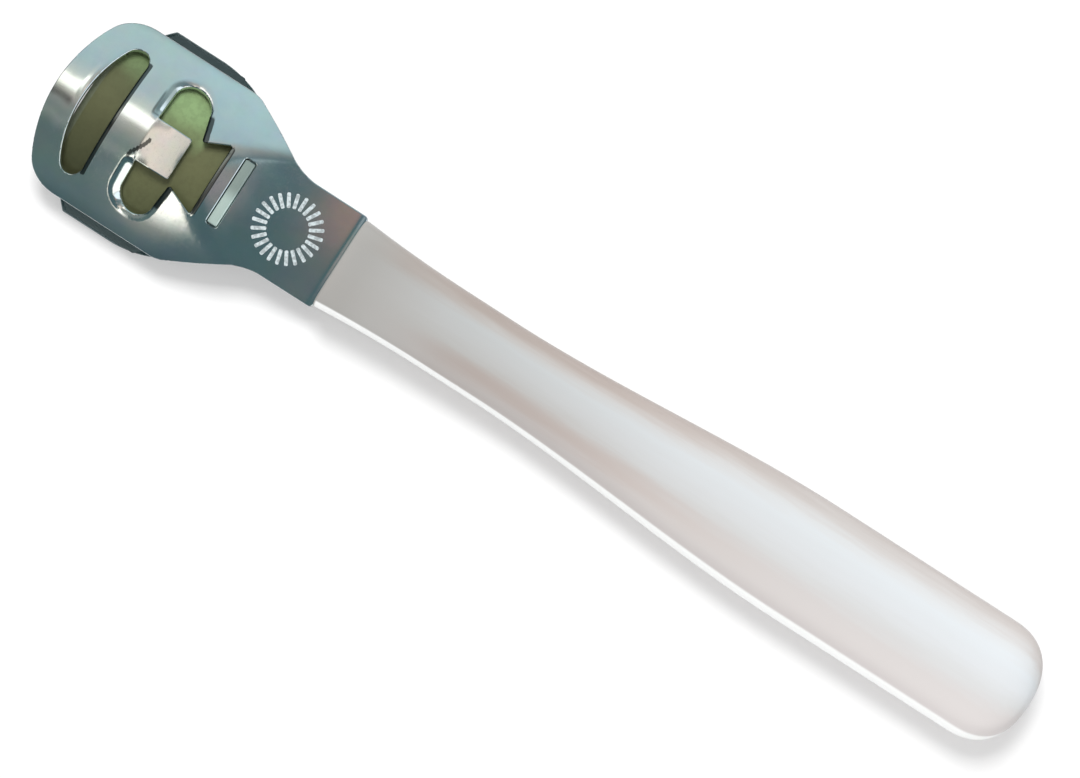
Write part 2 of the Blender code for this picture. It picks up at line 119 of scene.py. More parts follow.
# The cut-out. A lobe's numbers are how far its front lies behind the tongue's root, its front and rear
# corner radii, how far forward its rear side lies at the waist, and how much farther at its outer end.
BRIDGE_WIDTH = 0.0044
LOBE_WIDTH = 0.0072
LOBE_FRONT_X = MOUTH_REAR_X + BRIDGE_WIDTH
LOBE_REAR_X = LOBE_FRONT_X + LOBE_WIDTH
LOBE_HALF_SPAN = 0.00975
UPPER_LOBE = (0.0005, 0.0024, 0.0022, 0.0, 0.0019)
LOWER_LOBE = (0.0009, 0.0028, 0.0020, 0.0006, 0.0008)
WAIST_HALF_WIDTH = 0.0037
FAN_LENGTH = 0.0038
FAN_REAR_X = LOBE_REAR_X + FAN_LENGTH
FAN_HALF_WIDTH = 0.0055
SMALL_FILLET = 0.0004

# The tongue
TONGUE_LENGTH = 0.0060
TONGUE_HALF_WIDTH = 0.0033
TONGUE_SLOPE = 0.0007 / 0.0062
TONGUE_BEND = 0.0008
TONGUE_FLATTENS = 0.0035

# The rear slot and the tab that stands in it
REAR_SLOT_BRIDGE = 0.0024
TAB_THICKNESS = 0.0006
TAB_SIDE_ROOM = 0.00055
TAB_SHOWN = 0.0015
TAB_X = FAN_REAR_X + REAR_SLOT_BRIDGE + TAB_SIDE_ROOM + TAB_THICKNESS / 2
TAB_LENGTH = 0.010
TAB_PROUD = 0.0001
TAB_EDGE_ROUND = 0.00018
SLOT_CORNER_RADIUS = 0.0005

# How the edges of the openings are rolled down: how far each roll reaches, and how deep it goes
LIP_ROLL = (0.0013, 0.0005)
LOWER_LIP_ROLL = (0.0016, 0.00075)
REAR_ROLL = (0.0007, 0.0003)
SIDE_ROLL = (0.0010, 0.0003)
SHORT_ROLL = (0.0005, 0.00022)
MOUTH_FRONT_ROLL = (0.0009, 0.00012)
CORNER_DROP = 0.0003
LIP_SPREAD = 0.0009
ROLL_BLEND = 0.0008
ROLL_STEP = 0.00014
CREASE = 0.32

# Where shade is painted on the steel: on slopes that face the tip, in creases, and in the hook at the
# tongue's root
SHADE_FULL_SLOPE = 0.3
SHADE_PROBE_REACH = 1.2 * ROLL_STEP
CREASE_END = 0.008
UPPER_CREASE = 0.3
LOWER_CREASE = 0.25
HOOK_TOP = 0.0003
HOOK_REACH = 0.0031
HOOK_START = 0.0003
HOOK_LENGTH = 0.0015
HOOK_WIDTH = 0.0002
HOOK_CURVE = 1.5

# The blade
BLADE_CORNER_INSET = 0.0022
END_TAB_HALF_SPAN = BLADE_HIGH.y
END_TAB_WIDTH = 0.0108
END_TAB_FLANK = 0.0035
HONED_WIDTH = 0.0009
HONED_EDGE = 0.00006

# The base plate
EDGE_REVEAL = 0.0017
BASE_CORNER_INSET = 0.0029
WING_LEAD = 0.0008
WING_CORNER_RADIUS = 0.012
WING_TAPER = 0.7
LEAF_HALF_WIDTH = 0.0055
JOGGLE_LENGTH = 0.0018
PLATE_CORNER = 0.0012

# The handle
JOINT_HALF_WIDTH = 0.00695
WAIST_HALF = 0.0062
BELLY_HALF = 0.00888
FLARE_LENGTH = 0.017
WAIST_END = 0.025
BELLY_START = 0.076
END_ROUNDING = 0.0078
JOINT_TOP = 0.009
BELLY_TOP = 0.00958
JOINT_BOTTOM = 0.0010
FLAT_CUT = 0.0005
FRONT_EDGE = 0.0004
FRONT_INSET = 0.0005
FRONT_SQUARENESS = 5.0
REAR_SQUARENESS = 2.6
END_WIDTH_POWER = 2.4
END_HEIGHT_POWER = 3.0
FLAT_SOFTNESS = 0.0004
BAND_HALF_WIDTH = 0.0045
SLOT_SQUARENESS = 8.0

# The ring of marks on the neck
MARK_RING_X = TIP_X + 0.0372
MARK_OUTER_RADIUS = 0.00505
MARK_INNER_RADIUS = 0.0029
MARK_HEIGHT = 0.00003
MARK_END_ROUND = 0.35

# How finely meshes are divided
STRIP = 0.00018
HEAD_EDGE_ROUND = 0.00013
BASE_EDGE_ROUND = 0.00008
RIM_ANGLE = math.radians(60)
SHARP_ANGLE = math.radians(50)
FLAT_ANGLE = 0.01
FINE_STEP = 0.00045
ARC_SEGMENTS = 12
RING_POINTS = 112
FRONT_STEPS = 4
BODY_STEPS = 70
END_STEPS = 26
MERGE_DISTANCE = 1e-6
SNAP_DISTANCE = 2e-5
PROBE_STEP = 1e-5


def smooth(t):
    """Ease from 0 to 1."""
    t = min(max(t, 0.0), 1.0)
    return t * t * (3 - 2 * t)


def soft_min(a, b, softness):
    """The smaller of two heights, with the crease between them rounded."""
    h = min(max(0.5 + (b - a) / (2 * softness), 0.0), 1.0)
    return b + (a - b) * h - softness * h * (1 - h)


def soft_max(a, b, softness):
    """The larger of two heights, with the crease between them rounded."""
    return -soft_min(-a, -b, softness)


def on_arc(half_span, radius):
    """The length along a curved sheet that spans half_span in the view from above."""
    return radius * math.asin(half_span / radius)


MOUTH_SPAN = on_arc(MOUTH_HALF_LENGTH, HEAD_RADIUS)
LOBE_SPAN = on_arc(LOBE_HALF_SPAN, HEAD_RADIUS)
LOBE_SIDE = LOBE_SPAN - WAIST_HALF_WIDTH
FAN_SPAN = on_arc(FAN_HALF_WIDTH, HEAD_RADIUS)


def other_side(corners):
    """The corners mirrored to y <= 0, in the order that goes on round the outline."""
    return [(x, -y, r) for x, y, r in reversed(corners)]


def arc_turns(end=math.pi / 2):
    """Evenly spaced angles along an arc."""
    return [end * k / ARC_SEGMENTS for k in range(ARC_SEGMENTS + 1)]


# ---- flat blanks ----

def bevel(bm, geom, offset, segments, affect="EDGES", clamp=False):
    """Bevel with the settings that all pieces share."""
    bmesh.ops.bevel(
        bm, geom=geom, offset=offset, offset_type="OFFSET", affect=affect, segments=segments,
        profile=0.5, material=-1, clamp_overlap=clamp,
    )


def add_outline(bm, corners):
    """Add a flat polygon from corners (x, y, fillet radius) and round its corners."""
    verts = [bm.verts.new((x, y, 0)) for x, y, _ in corners]
    bm.faces.new(verts)
    for i, (x, y, radius) in enumerate(corners):
        if radius == 0:
            continue
        here = Vector((x, y))
        before = Vector(corners[i - 1][:2]) - here
        after = Vector(corners[(i + 1) % len(corners)][:2]) - here
        reach = radius / math.tan(before.angle(after) / 2)
        bevel(bm, [verts[i]], reach, ARC_SEGMENTS, "VERTICES")


def cut_across(bm, axis, places):
    """Divide a flat sheet along straight lines, at places on one axis."""
    normal = (1, 0, 0) if axis == 0 else (0, 1, 0)
    for place in places:
        bmesh.ops.bisect_plane(
            bm, geom=bm.verts[:] + bm.edges[:] + bm.faces[:], dist=SNAP_DISTANCE,
            plane_co=[place * n for n in normal], plane_no=normal,
        )


def evenly(low, high, step):
    """Places between low and high, about a step apart."""
    count = math.ceil((high - low) / step)
    return [low + (high - low) * k / count for k in range(1, count)]


def make_blank(outline, holes, sheet, step, edge_round=0.0, extra_cuts=((), ())):
    """A flat sheet with holes and rounded rims, divided finely enough to be bent. Its top is at z = 0."""
    bm = bmesh.new()
    for corners in [outline] + holes:
        add_outline(bm, corners)
    bmesh.ops.delete(bm, geom=bm.faces[:], context="FACES_ONLY")
    bmesh.ops.triangle_fill(bm, use_beauty=True, use_dissolve=False, edges=bm.edges[:], normal=(0, 0, 1))
    inner = bm.faces[:]
    if edge_round:
        bmesh.ops.inset_region(bm, faces=inner, thickness=STRIP, use_boundary=True, use_even_offset=True)
    inside = set(inner)
    seams = [e for e in bm.edges if len(e.link_faces) == 2 and inside.issuperset(e.link_faces)]
    bmesh.ops.dissolve_limit(bm, angle_limit=FLAT_ANGLE, verts=[], edges=seams)
    for axis in (0, 1):
        low = min(v.co[axis] for v in bm.verts)
        high = max(v.co[axis] for v in bm.verts)
        cut_across(bm, axis, evenly(low, high, step))
        cut_across(bm, axis, extra_cuts[axis])
    bmesh.ops.recalc_face_normals(bm, faces=bm.faces)
    lower = bmesh.ops.extrude_face_region(bm, geom=bm.faces[:])
    moved = [v for v in lower["geom"] if isinstance(v, bmesh.types.BMVert)]
    bmesh.ops.translate(bm, vec=(0, 0, -sheet), verts=moved)
    bmesh.ops.recalc_face_normals(bm, faces=bm.faces)
    if edge_round:
        rims = [e for e in bm.edges if e.calc_face_angle(0) > RIM_ANGLE and rise(e) < MERGE_DISTANCE]
        bevel(bm, rims, edge_round, 2)
    return bm


def rise(edge):
    """How much higher one end of an edge is than the other."""
    return abs(edge.verts[0].co.z - edge.verts[1].co.z)


def bend(bm, form):
    """Move each vertex of a flat blank by form(x, along, depth)."""
    for v in bm.verts:
        v.co = form(v.co.x, v.co.y, -v.co.z)


def add_object(bm, name, material):
    """Put a bmesh into the scene as an object at the origin."""
    mesh = bpy.data.meshes.new(name)
    bm.to_mesh(mesh)
    bm.free()
    mesh.materials.append(material)
    obj = bpy.data.objects.new(name, mesh)
    bpy.context.scene.collection.objects.link(obj)
    return obj


def finish_piece(bm, name, body, slot, material, *nodes):
    """Turn a bmesh into a smooth object that rides on a body and stands for CAD nodes."""
    bmesh.ops.recalc_face_normals(bm, faces=bm.faces)
    obj = add_object(bm, name, material)
    obj.data.shade_smooth()
    obj.data.set_sharp_from_angle(angle=SHARP_ANGLE)
    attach(obj, body)
    if nodes:
        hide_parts(*nodes)
    return obj


# ---- the surfaces that the sheets follow ----

def below(surface, x, y, depth):
    """The point at a depth under a surface, measured square to it."""
    slope_x = (surface(x + PROBE_STEP, y) - surface(x - PROBE_STEP, y)) / (2 * PROBE_STEP)
    slope_y = (surface(x, y + PROBE_STEP) - surface(x, y - PROBE_STEP)) / (2 * PROBE_STEP)
    normal = Vector((-slope_x, -slope_y, 1)).normalized()
    return Vector((x, y, surface(x, y))) - normal * depth


def barrel_height(y, radius):
    """The height of a sheet curved round the head's long axis."""
    return AXIS_Z + math.sqrt(max(radius * radius - y * y, 0.0))


def plate_surface(x, y):
    """The head's upper face: a barrel in front, then the sloping neck, then the level tang."""
    slope = HEAD_HIGH.z - NECK_SLOPE * (x - NECK_BEND_X)
    neck = soft_max(slope, TANG_TOP, TANG_SOFTNESS)
    curl = TIP_CURL * (1 - smooth((x - TIP_X) / TIP_CURL_LENGTH))
    return soft_min(barrel_height(y, HEAD_RADIUS), neck, BEND_SOFTNESS) - curl


def rolled(outside, roll):
    """How deep a roll goes at a distance outside an opening's edge."""
    reach, drop = roll
    share = min(max(1 - outside / reach, 0.0), 1.0)
    return drop * share * (CREASE + (1 - CREASE) * share)


def lobe_rear(side, shift, lean):
    """Where a lobe's rear side lies, which leans forward from the waist outwards."""
    return LOBE_REAR_X - shift - lean * (side - WAIST_HALF_WIDTH) / LOBE_SIDE


def lobe_roll(x, along):
    """The roll round the cut-out's lobes: a wide lip in front, a sharper roll behind."""
    side = abs(along)
    reach, front_radius, rear_radius, shift, lean = UPPER_LOBE if along > 0 else LOWER_LOBE
    front = LOBE_FRONT_X + reach
    if x < front + front_radius:
        out_x, radius = front + front_radius - x, front_radius
        end = LIP_ROLL if along > 0 else LOWER_LIP_ROLL
    else:
        behind = (x - lobe_rear(side, shift, lean)) / math.hypot(1, lean / LOBE_SIDE)
        out_x, radius, end = max(behind + rear_radius, 0.0), rear_radius, REAR_ROLL
    out_y = max(side - (LOBE_SPAN - radius), 0.0)
    distance = math.hypot(out_x, out_y)
    facing = (out_x / max(distance, MERGE_DISTANCE)) ** 2
    roll = [a + (b - a) * facing for a, b in zip(SIDE_ROLL, end)]
    if end == LOWER_LIP_ROLL:
        roll[1] += 4 * facing * (1 - facing) * CORNER_DROP
    return rolled(distance - radius, roll) * smooth((side - TONGUE_HALF_WIDTH) / ROLL_BLEND)


def mouth_roll(x, along):
    """The roll along the mouth's straight rear edge and the upper half of its curved front edge."""
    within = smooth((MOUTH_SPAN - MOUTH_CORNER_RADIUS / 2 - abs(along)) / ROLL_BLEND)
    if x > MOUTH_MIDDLE_X:
        return rolled(abs(x - MOUTH_SHOWN_REAR), SHORT_ROLL) * within
    from_centre = math.hypot(TIP_X + MOUTH_FRONT_TRIM + TIP_RADIUS - x, along)
    upper = smooth(0.5 + along / (4 * ROLL_BLEND))
    return rolled(abs(from_centre - TIP_RADIUS + LIP_WIDTH), MOUTH_FRONT_ROLL) * within * upper


def head_dip(x, along):
    """How far the metal round the openings and the tongue is pressed down."""
    side = abs(along)
    into = x - LOBE_FRONT_X
    if into < -LIP_SPREAD:
        return mouth_roll(x, along)
    if into > 0 and x < LOBE_REAR_X and side < TONGUE_HALF_WIDTH + SMALL_FILLET / 4:
        soft = into * into / (2 * TONGUE_BEND) if into < TONGUE_BEND else into - TONGUE_BEND / 2
        crown = barrel_height(0, HEAD_RADIUS) - barrel_height(along, HEAD_RADIUS)
        return TONGUE_SLOPE * soft - smooth(into / TONGUE_FLATTENS) * crown
    behind_fan = rolled(abs(x - FAN_REAR_X), SHORT_ROLL) * smooth((FAN_SPAN - side) / ROLL_BLEND)
    return max(lobe_roll(x, along), behind_fan if x > LOBE_REAR_X + REAR_ROLL[0] else 0.0)


def painted_shade_share(x, along):
    """How much shade is painted on the metal, 0 to 1: in creases, on rolls that face the tip, and in the
    hook.
    """
    def fall(ahead):
        near, far = (head_dip(x + ahead + step, along) for step in (-PROBE_STEP, PROBE_STEP))
        return (near - far) / (2 * PROBE_STEP)

    side = abs(along)
    beside_corner = 1.0
    if x > MOUTH_REAR_X + LIP_WIDTH / 2:
        beside_corner = smooth((CREASE_END - side) / (2 * ROLL_BLEND))
    falling = max(fall(-SHADE_PROBE_REACH), fall(0.0))
    if falling > 0 or x < MOUTH_REAR_X:
        return min(max(falling / SHADE_FULL_SLOPE, 0.0), 1.0) * beside_corner
    if side < TONGUE_HALF_WIDTH + SMALL_FILLET / 2:
        curve = HOOK_LENGTH * (1 - min(max((HOOK_TOP - along) / HOOK_REACH, 0.0), 1.0) ** HOOK_CURVE)
        off_curve = abs(x - LOBE_FRONT_X + HOOK_START - curve)
        return smooth((HOOK_TOP - along) / ROLL_STEP) * smooth(1.5 - off_curve / HOOK_WIDTH)
    steepness = -fall(SHADE_PROBE_REACH) / SHADE_FULL_SLOPE
    crease = smooth(4 * steepness) * smooth(3 - 2.5 * steepness)
    return beside_corner * crease * (UPPER_CREASE if along > 0 else LOWER_CREASE)


def form_head(x, along, depth):
    curved = HEAD_RADIUS * math.sin(along / HEAD_RADIUS)
    flat_across = smooth((x - SHOULDER_X) / TAPER_LENGTH)
    y = curved + (along - curved) * flat_across
    return below(plate_surface, x, y, depth + head_dip(x, along))


def base_surface(x, y):
    """The base plate's upper face: a barrel under the blade, then close under the neck."""
    joggle = smooth((x - BLADE_HIGH.x) / JOGGLE_LENGTH)
    leaf = plate_surface(x, y) - HEAD_SHEET - GAP
    barrel = barrel_height(y, BASE_RADIUS)
    return barrel + (leaf - barrel) * joggle


def form_base(x, along, depth):
    joggle = smooth((x - BLADE_HIGH.x) / JOGGLE_LENGTH)
    curved = BASE_RADIUS * math.sin(along / BASE_RADIUS)
    return below(base_surface, x, curved + (along - curved) * joggle, depth)


def form_blade(x, along, depth):
    """Curve the blade round its sliding axis, and thin it towards its two honed edges."""
    from_edge = min(x - BLADE_LOW.x, BLADE_HIGH.x - x)
    share = min(from_edge / HONED_WIDTH, 1.0)
    thickness = HONED_EDGE + (BLADE_SHEET - HONED_EDGE) * share
    middle = BLADE_SHEET / 2
    reach = BLADE_RADIUS - middle - (depth - middle) * thickness / BLADE_SHEET
    angle = along / BLADE_RADIUS
    return Vector((x, reach * math.sin(angle), AXIS_Z + reach * math.cos(angle)))


# ---- outlines ----

def head_outline():
    """The blank of the head, neck and tang, before it is bent."""
    side = on_arc(HEAD_HALF_WIDTH, HEAD_RADIUS)
    corner_y = side - TIP_CORNER_RADIUS
    corner_x = TIP_RADIUS - math.sqrt((TIP_RADIUS - TIP_CORNER_RADIUS) ** 2 - corner_y ** 2)
    tangent = math.atan2(corner_y, TIP_RADIUS - corner_x)
    half = []
    for turn in arc_turns(tangent):
        half.append((TIP_X + TIP_RADIUS * (1 - math.cos(turn)), TIP_RADIUS * math.sin(turn), 0))
    for turn in arc_turns(math.pi / 2 - tangent)[1:]:
        x = TIP_X + corner_x - TIP_CORNER_RADIUS * math.cos(tangent + turn)
        half.append((x, corner_y + TIP_CORNER_RADIUS * math.sin(tangent + turn), 0))
    neck_end = JOINT_X - NECK_END_GAP
    half += [
        (SHOULDER_X, side, SHOULDER_RADIUS),
        (SHOULDER_X + TAPER_LENGTH, NECK_HALF_WIDTH, NECK_FILLET),
        (neck_end, NECK_HALF_WIDTH, NECK_END_RADIUS),
        (neck_end, TANG_HALF_WIDTH, 0),
        (HEAD_HIGH.x, TANG_HALF_WIDTH, TANG_HALF_WIDTH / 2),
    ]
    return half + other_side(half[1:])


def mouth_outline():
    """The mouth: its front edge follows the tip's arc and its rear edge is straight."""
    centre = TIP_X + MOUTH_FRONT_TRIM + TIP_RADIUS
    radius = TIP_RADIUS - LIP_WIDTH
    turns = arc_turns(math.asin((MOUTH_SPAN - MOUTH_CORNER_RADIUS) / radius))
    half = [(centre - radius * math.cos(turn), radius * math.sin(turn), 0) for turn in turns]
    half += [
        (half[-1][0] + MOUTH_CORNER_LEAN, MOUTH_SPAN, MOUTH_CORNER_RADIUS),
        (MOUTH_SHOWN_REAR, MOUTH_SPAN, MOUTH_CORNER_RADIUS),
    ]
    return half + other_side(half[1:])


def cutout_half(reach, front_radius, rear_radius, shift, lean):
    """Half of the cut-out. Its lobe's corners are the curves that lobe_roll measures from."""
    front = LOBE_FRONT_X + reach
    half = [
        (LOBE_FRONT_X + TONGUE_LENGTH, TONGUE_HALF_WIDTH, SMALL_FILLET),
        (front, TONGUE_HALF_WIDTH, SMALL_FILLET / 2),
    ]
    for turn in arc_turns():
        side = LOBE_SPAN - front_radius * (1 - math.sin(turn))
        half.append((front + front_radius * (1 - math.cos(turn)), side, 0))
    for turn in reversed(arc_turns()):
        side = LOBE_SPAN - rear_radius * (1 - math.sin(turn))
        inward = rear_radius * (1 - math.cos(turn)) * math.hypot(1, lean / LOBE_SIDE)
        half.append((lobe_rear(side, shift, lean) - inward, side, 0))
    return half + [
        (LOBE_REAR_X - shift, WAIST_HALF_WIDTH, SMALL_FILLET),
        (FAN_REAR_X, FAN_SPAN, SMALL_FILLET / 2),
    ]


def cutout_outline():
    """A round lobe on either side of the tongue, and a fan behind it."""
    return cutout_half(*UPPER_LOBE) + other_side(cutout_half(*LOWER_LOBE))


def rear_slot_outline():
    half_width = TAB_THICKNESS / 2 + TAB_SIDE_ROOM
    half_length = TAB_LENGTH / 2 + GAP
    half = [(x, half_length, SLOT_CORNER_RADIUS) for x in (TAB_X - half_width, TAB_X + half_width)]
    return half + other_side(half)


def blade_outline():
    span = on_arc(HEAD_HALF_WIDTH - BLADE_CORNER_INSET, BLADE_RADIUS)
    tab_span = on_arc(END_TAB_HALF_SPAN, BLADE_RADIUS)
    front = SLIDE_AXIS.x - END_TAB_WIDTH / 2
    rear = SLIDE_AXIS.x + END_TAB_WIDTH / 2
    half = [
        (BLADE_LOW.x, span, SMALL_FILLET),
        (front - END_TAB_FLANK, span, SMALL_FILLET),
        (front, tab_span, SMALL_FILLET),
        (rear, tab_span, SMALL_FILLET),
        (rear + END_TAB_FLANK, span, SMALL_FILLET),
        (BLADE_HIGH.x, span, SMALL_FILLET),
    ]
    return half + other_side(half)


def base_outline():
    span = on_arc(HEAD_HALF_WIDTH - BASE_CORNER_INSET, BASE_RADIUS)
    wing = on_arc(BASE_HIGH.y, BASE_RADIUS)
    wing_front = SLIDE_AXIS.x - END_TAB_WIDTH / 2 - WING_LEAD
    wing_rear = SLIDE_AXIS.x + END_TAB_WIDTH / 2
    rear = BLADE_HIGH.x - GAP
    half = [
        (BLADE_LOW.x + EDGE_REVEAL, span, PLATE_CORNER),
        (wing_front, wing, SMALL_FILLET),
        (wing_rear, wing, WING_CORNER_RADIUS),
        (rear, wing - WING_TAPER * (rear - wing_rear), PLATE_CORNER),
        (rear, LEAF_HALF_WIDTH, SMALL_FILLET),
        (BASE_HIGH.x, LEAF_HALF_WIDTH, PLATE_CORNER),
    ]
    return half + other_side(half)


# ---- shader maths ----

def operator_pair(operation):
    """An operator on wires and its reflected form, which add a Math node."""
    return (
        lambda wire, other: wire.math(operation, wire, other),
        lambda wire, other: wire.math(operation, other, wire),
    )


class Wire:
    """A node's output, with operators that add Math nodes."""

    __add__, __radd__ = operator_pair("ADD")
    __sub__, __rsub__ = operator_pair("SUBTRACT")
    __mul__, __rmul__ = operator_pair("MULTIPLY")
    __truediv__, __rtruediv__ = operator_pair("DIVIDE")

    def __init__(self, tree, socket):
        self.tree = tree
        self.socket = socket

    def math(self, operation, *values):
        return self.tree.add("ShaderNodeMath", {"operation": operation}, dict(enumerate(values)))


class Nodes:
    """A material's or the world's nodes under construction."""

    def __init__(self, owner):
        owner.use_nodes = True
        self.owner = owner
        self.tree = owner.node_tree
        self.tree.nodes.clear()

    def add(self, kind, settings=None, values=None, output=0):
        """Add a node: its settings first, then the values or links of its inputs."""
        node = self.tree.nodes.new(kind)
        for key, value in (settings or {}).items():
            if key == "stops":
                self.set_stops(node.color_ramp, value)
            else:
                setattr(node, key, value)
        for key, value in (values or {}).items():
            if isinstance(value, Wire):
                self.tree.links.new(value.socket, node.inputs[key])
            else:
                node.inputs[key].default_value = value
        return Wire(self, node.outputs[output] if node.outputs else None)

    def set_stops(self, ramp, stops):
        for element, (place, *colour) in zip(ramp.elements, (stops[0], stops[-1])):
            element.position = place
            element.color = rgba(colour)
        for place, *colour in stops[1:-1]:
            ramp.elements.new(place).color = rgba(colour)

    def coordinates(self):
        """Object coordinates, whole and as three separate wires."""
        place = self.add("ShaderNodeTexCoord", output=3)
        return place, [self.add("ShaderNodeSeparateXYZ", values={0: place}, output=k) for k in range(3)]

    def attribute(self, name):
        """A number that the mesh carries at each vertex."""
        return self.add("ShaderNodeAttribute", {"attribute_name": name}, output=2)

    def ease(self, value, start, end, low=0.0, high=1.0):
        """A smooth step from low to high as value goes from start to end."""
        values = {0: value, 1: start, 2: end, 3: low, 4: high}
        return self.add("ShaderNodeMapRange", {"interpolation_type": "SMOOTHSTEP"}, values)

    def band(self, value, start, full, fading, end):
        """Smoothly up from 0 to 1 as value goes from start to full, and down again from fading to end."""
        return self.ease(value, start, full) * self.ease(value, fading, end, 1.0, 0.0)

    def stretched(self, place, scale, turn=(0, 0, 0)):
        """Coordinates that squeeze a pattern by a scale along each axis."""
        return self.add("ShaderNodeMapping", values={"Vector": place, "Rotation": turn, "Scale": scale})

    def noise(self, place, scale, detail=2.0, roughness=0.5, distortion=0.0, output=0):
        values = {"Vector": place, "Scale": scale, "Detail": detail, "Roughness": roughness}
        return self.add("ShaderNodeTexNoise", values={**values, "Distortion": distortion}, output=output)

    def mix(self, factor, first, second, blend="MIX"):
        """Mix two colours."""
        values = {0: factor, 6: first, 7: second}
        return self.add("ShaderNodeMix", {"data_type": "RGBA", "blend_type": blend}, values, output=2)

    def ramp(self, place, stops):
        """A colour for a place from 0 to 1, from rows of a place and its red, green and blue."""
        return self.add("ShaderNodeValToRGB", {"stops": stops}, {0: place})

    def panels(self, angle, stops):
        """Colours round the tool, by angle in degrees from the -Y side at -90 to the +Y side at 90."""
        stops = [((degrees + 90) / 180, *colour) for degrees, *colour in stops]
        return self.ramp((angle + 90.0) / 180.0, stops)

    def bump(self, height, strength, distance):
        values = {"Height": height, "Strength": strength, "Distance": distance}
        return self.add("ShaderNodeBump", values=values)

    def finish(self, shader):
        """Join a shader to the output, and hand the material back."""
        self.add("ShaderNodeOutputMaterial", values={"Surface": shader})
        return self.owner

    def surface(self, **inputs):
        """Finish with a Principled surface."""
        values = {key.replace("_", " "): value for key, value in inputs.items()}
        return self.finish(self.add("ShaderNodeBsdfPrincipled", values=values))


def rgba(colour, share=1.0):
    """A colour socket's value, with the colour scaled by a share."""
    return (*(part * share for part in colour), 1)


def new_material(name):
    return Nodes(bpy.data.materials.new(name))


# ---- materials ----

# How high a bump of strength 1 stands
SURFACE_GRAIN = 0.0001

# Tones of the steel beside its tints: dark tones painted as shade on the head and on the blade's bare end
# at +Y
PAINTED_SHADE_STEEL = (0.065, 0.075, 0.075)
SHADED_BARE_STEEL = (0.09, 0.11, 0.115)

# Where the blade's look changes: at its bare ends, under the mouth, where shade is painted, under the fan,
# and towards +Y, where painted light makes the lacquer lighter and greener
BARE_END = (0.0122, 0.0132)
UNDER_MOUTH = (-0.0685, -0.0645)
UNDER_FAN = (-0.0578, -0.0565)
LIT_GREEN_SIDE = (0.001, 0.007)

# The pearl: how far it has gone from its painted shade at the joint to its end colour along the handle, and
# the tones of its painted sheen and shade across the handle
PEARL_SHADE_FADE = ((0.0, 0.0), (0.03, 0.0), (0.14, 0.26), (0.5, 0.66), (1.0, 1.0))
PEARL_SHEEN_BANDS = (
    (0.0, 0.86, 0.8, 0.78),
    (0.28, 0.87, 0.82, 0.8),
    (0.42, 0.91, 0.91, 0.9),
    (0.55, 0.97, 0.99, 1.0),
    (0.72, 1.0, 1.04, 1.06),
    (0.81, 0.99, 1.0, 1.0),
    (0.9, 0.88, 0.83, 0.8),
    (1.0, 0.76, 0.69, 0.65),
)
ROSY_SHADE_TINT = (0.93, 0.86, 0.83)
# Heights on the handle's side between which a highlight is painted
PAINTED_RIM_HEIGHTS = (0.0038, 0.0054)


def make_head_steel(looks):
    """Polished stainless sheet with faint polishing lines, hair scratches, mottling and painted shade."""
    nodes = new_material("polished_head_steel")
    place, _ = nodes.coordinates()
    lines = nodes.noise(nodes.stretched(place, (1.0, 12.0, 6.0)), 600.0, 3.0, 0.6)
    cloud = nodes.noise(place, 260.0, 3.0, 0.6)
    scratch = nodes.noise(nodes.stretched(place, (60.0, 3.0, 3.0), (0, 0, 0.5)), 420.0, 2.0, 0.7)
    hairline = nodes.ease(scratch, 0.66, 0.74)
    mottle = nodes.noise(place, 300.0, 3.0, 0.6, output=1)
    colour = nodes.mix(0.3, rgba(looks.head_tint), mottle, "SOFT_LIGHT")
    colour = nodes.mix(cloud, colour, nodes.mix(1.0, colour, rgba((1.1, 1.1, 1.1)), "MULTIPLY"))
    # Painted shade: a dark tone in creases, on rolls that face the tip and in the hook at the tongue's root
    colour = nodes.mix(nodes.ease(nodes.attribute("dull"), 0.05, 0.45, 0.0, 0.92), colour, rgba(PAINTED_SHADE_STEEL))
    roughness = looks.head_roughness + 0.05 * (cloud - 0.5) + 0.05 * (lines - 0.5) + 0.06 * hairline
    normal = nodes.bump(0.12 * lines + 0.2 * hairline + 0.8 * cloud, 0.05, 2 * SURFACE_GRAIN)
    return nodes.surface(Base_Color=colour, Metallic=1.0, Roughness=roughness, Normal=normal)


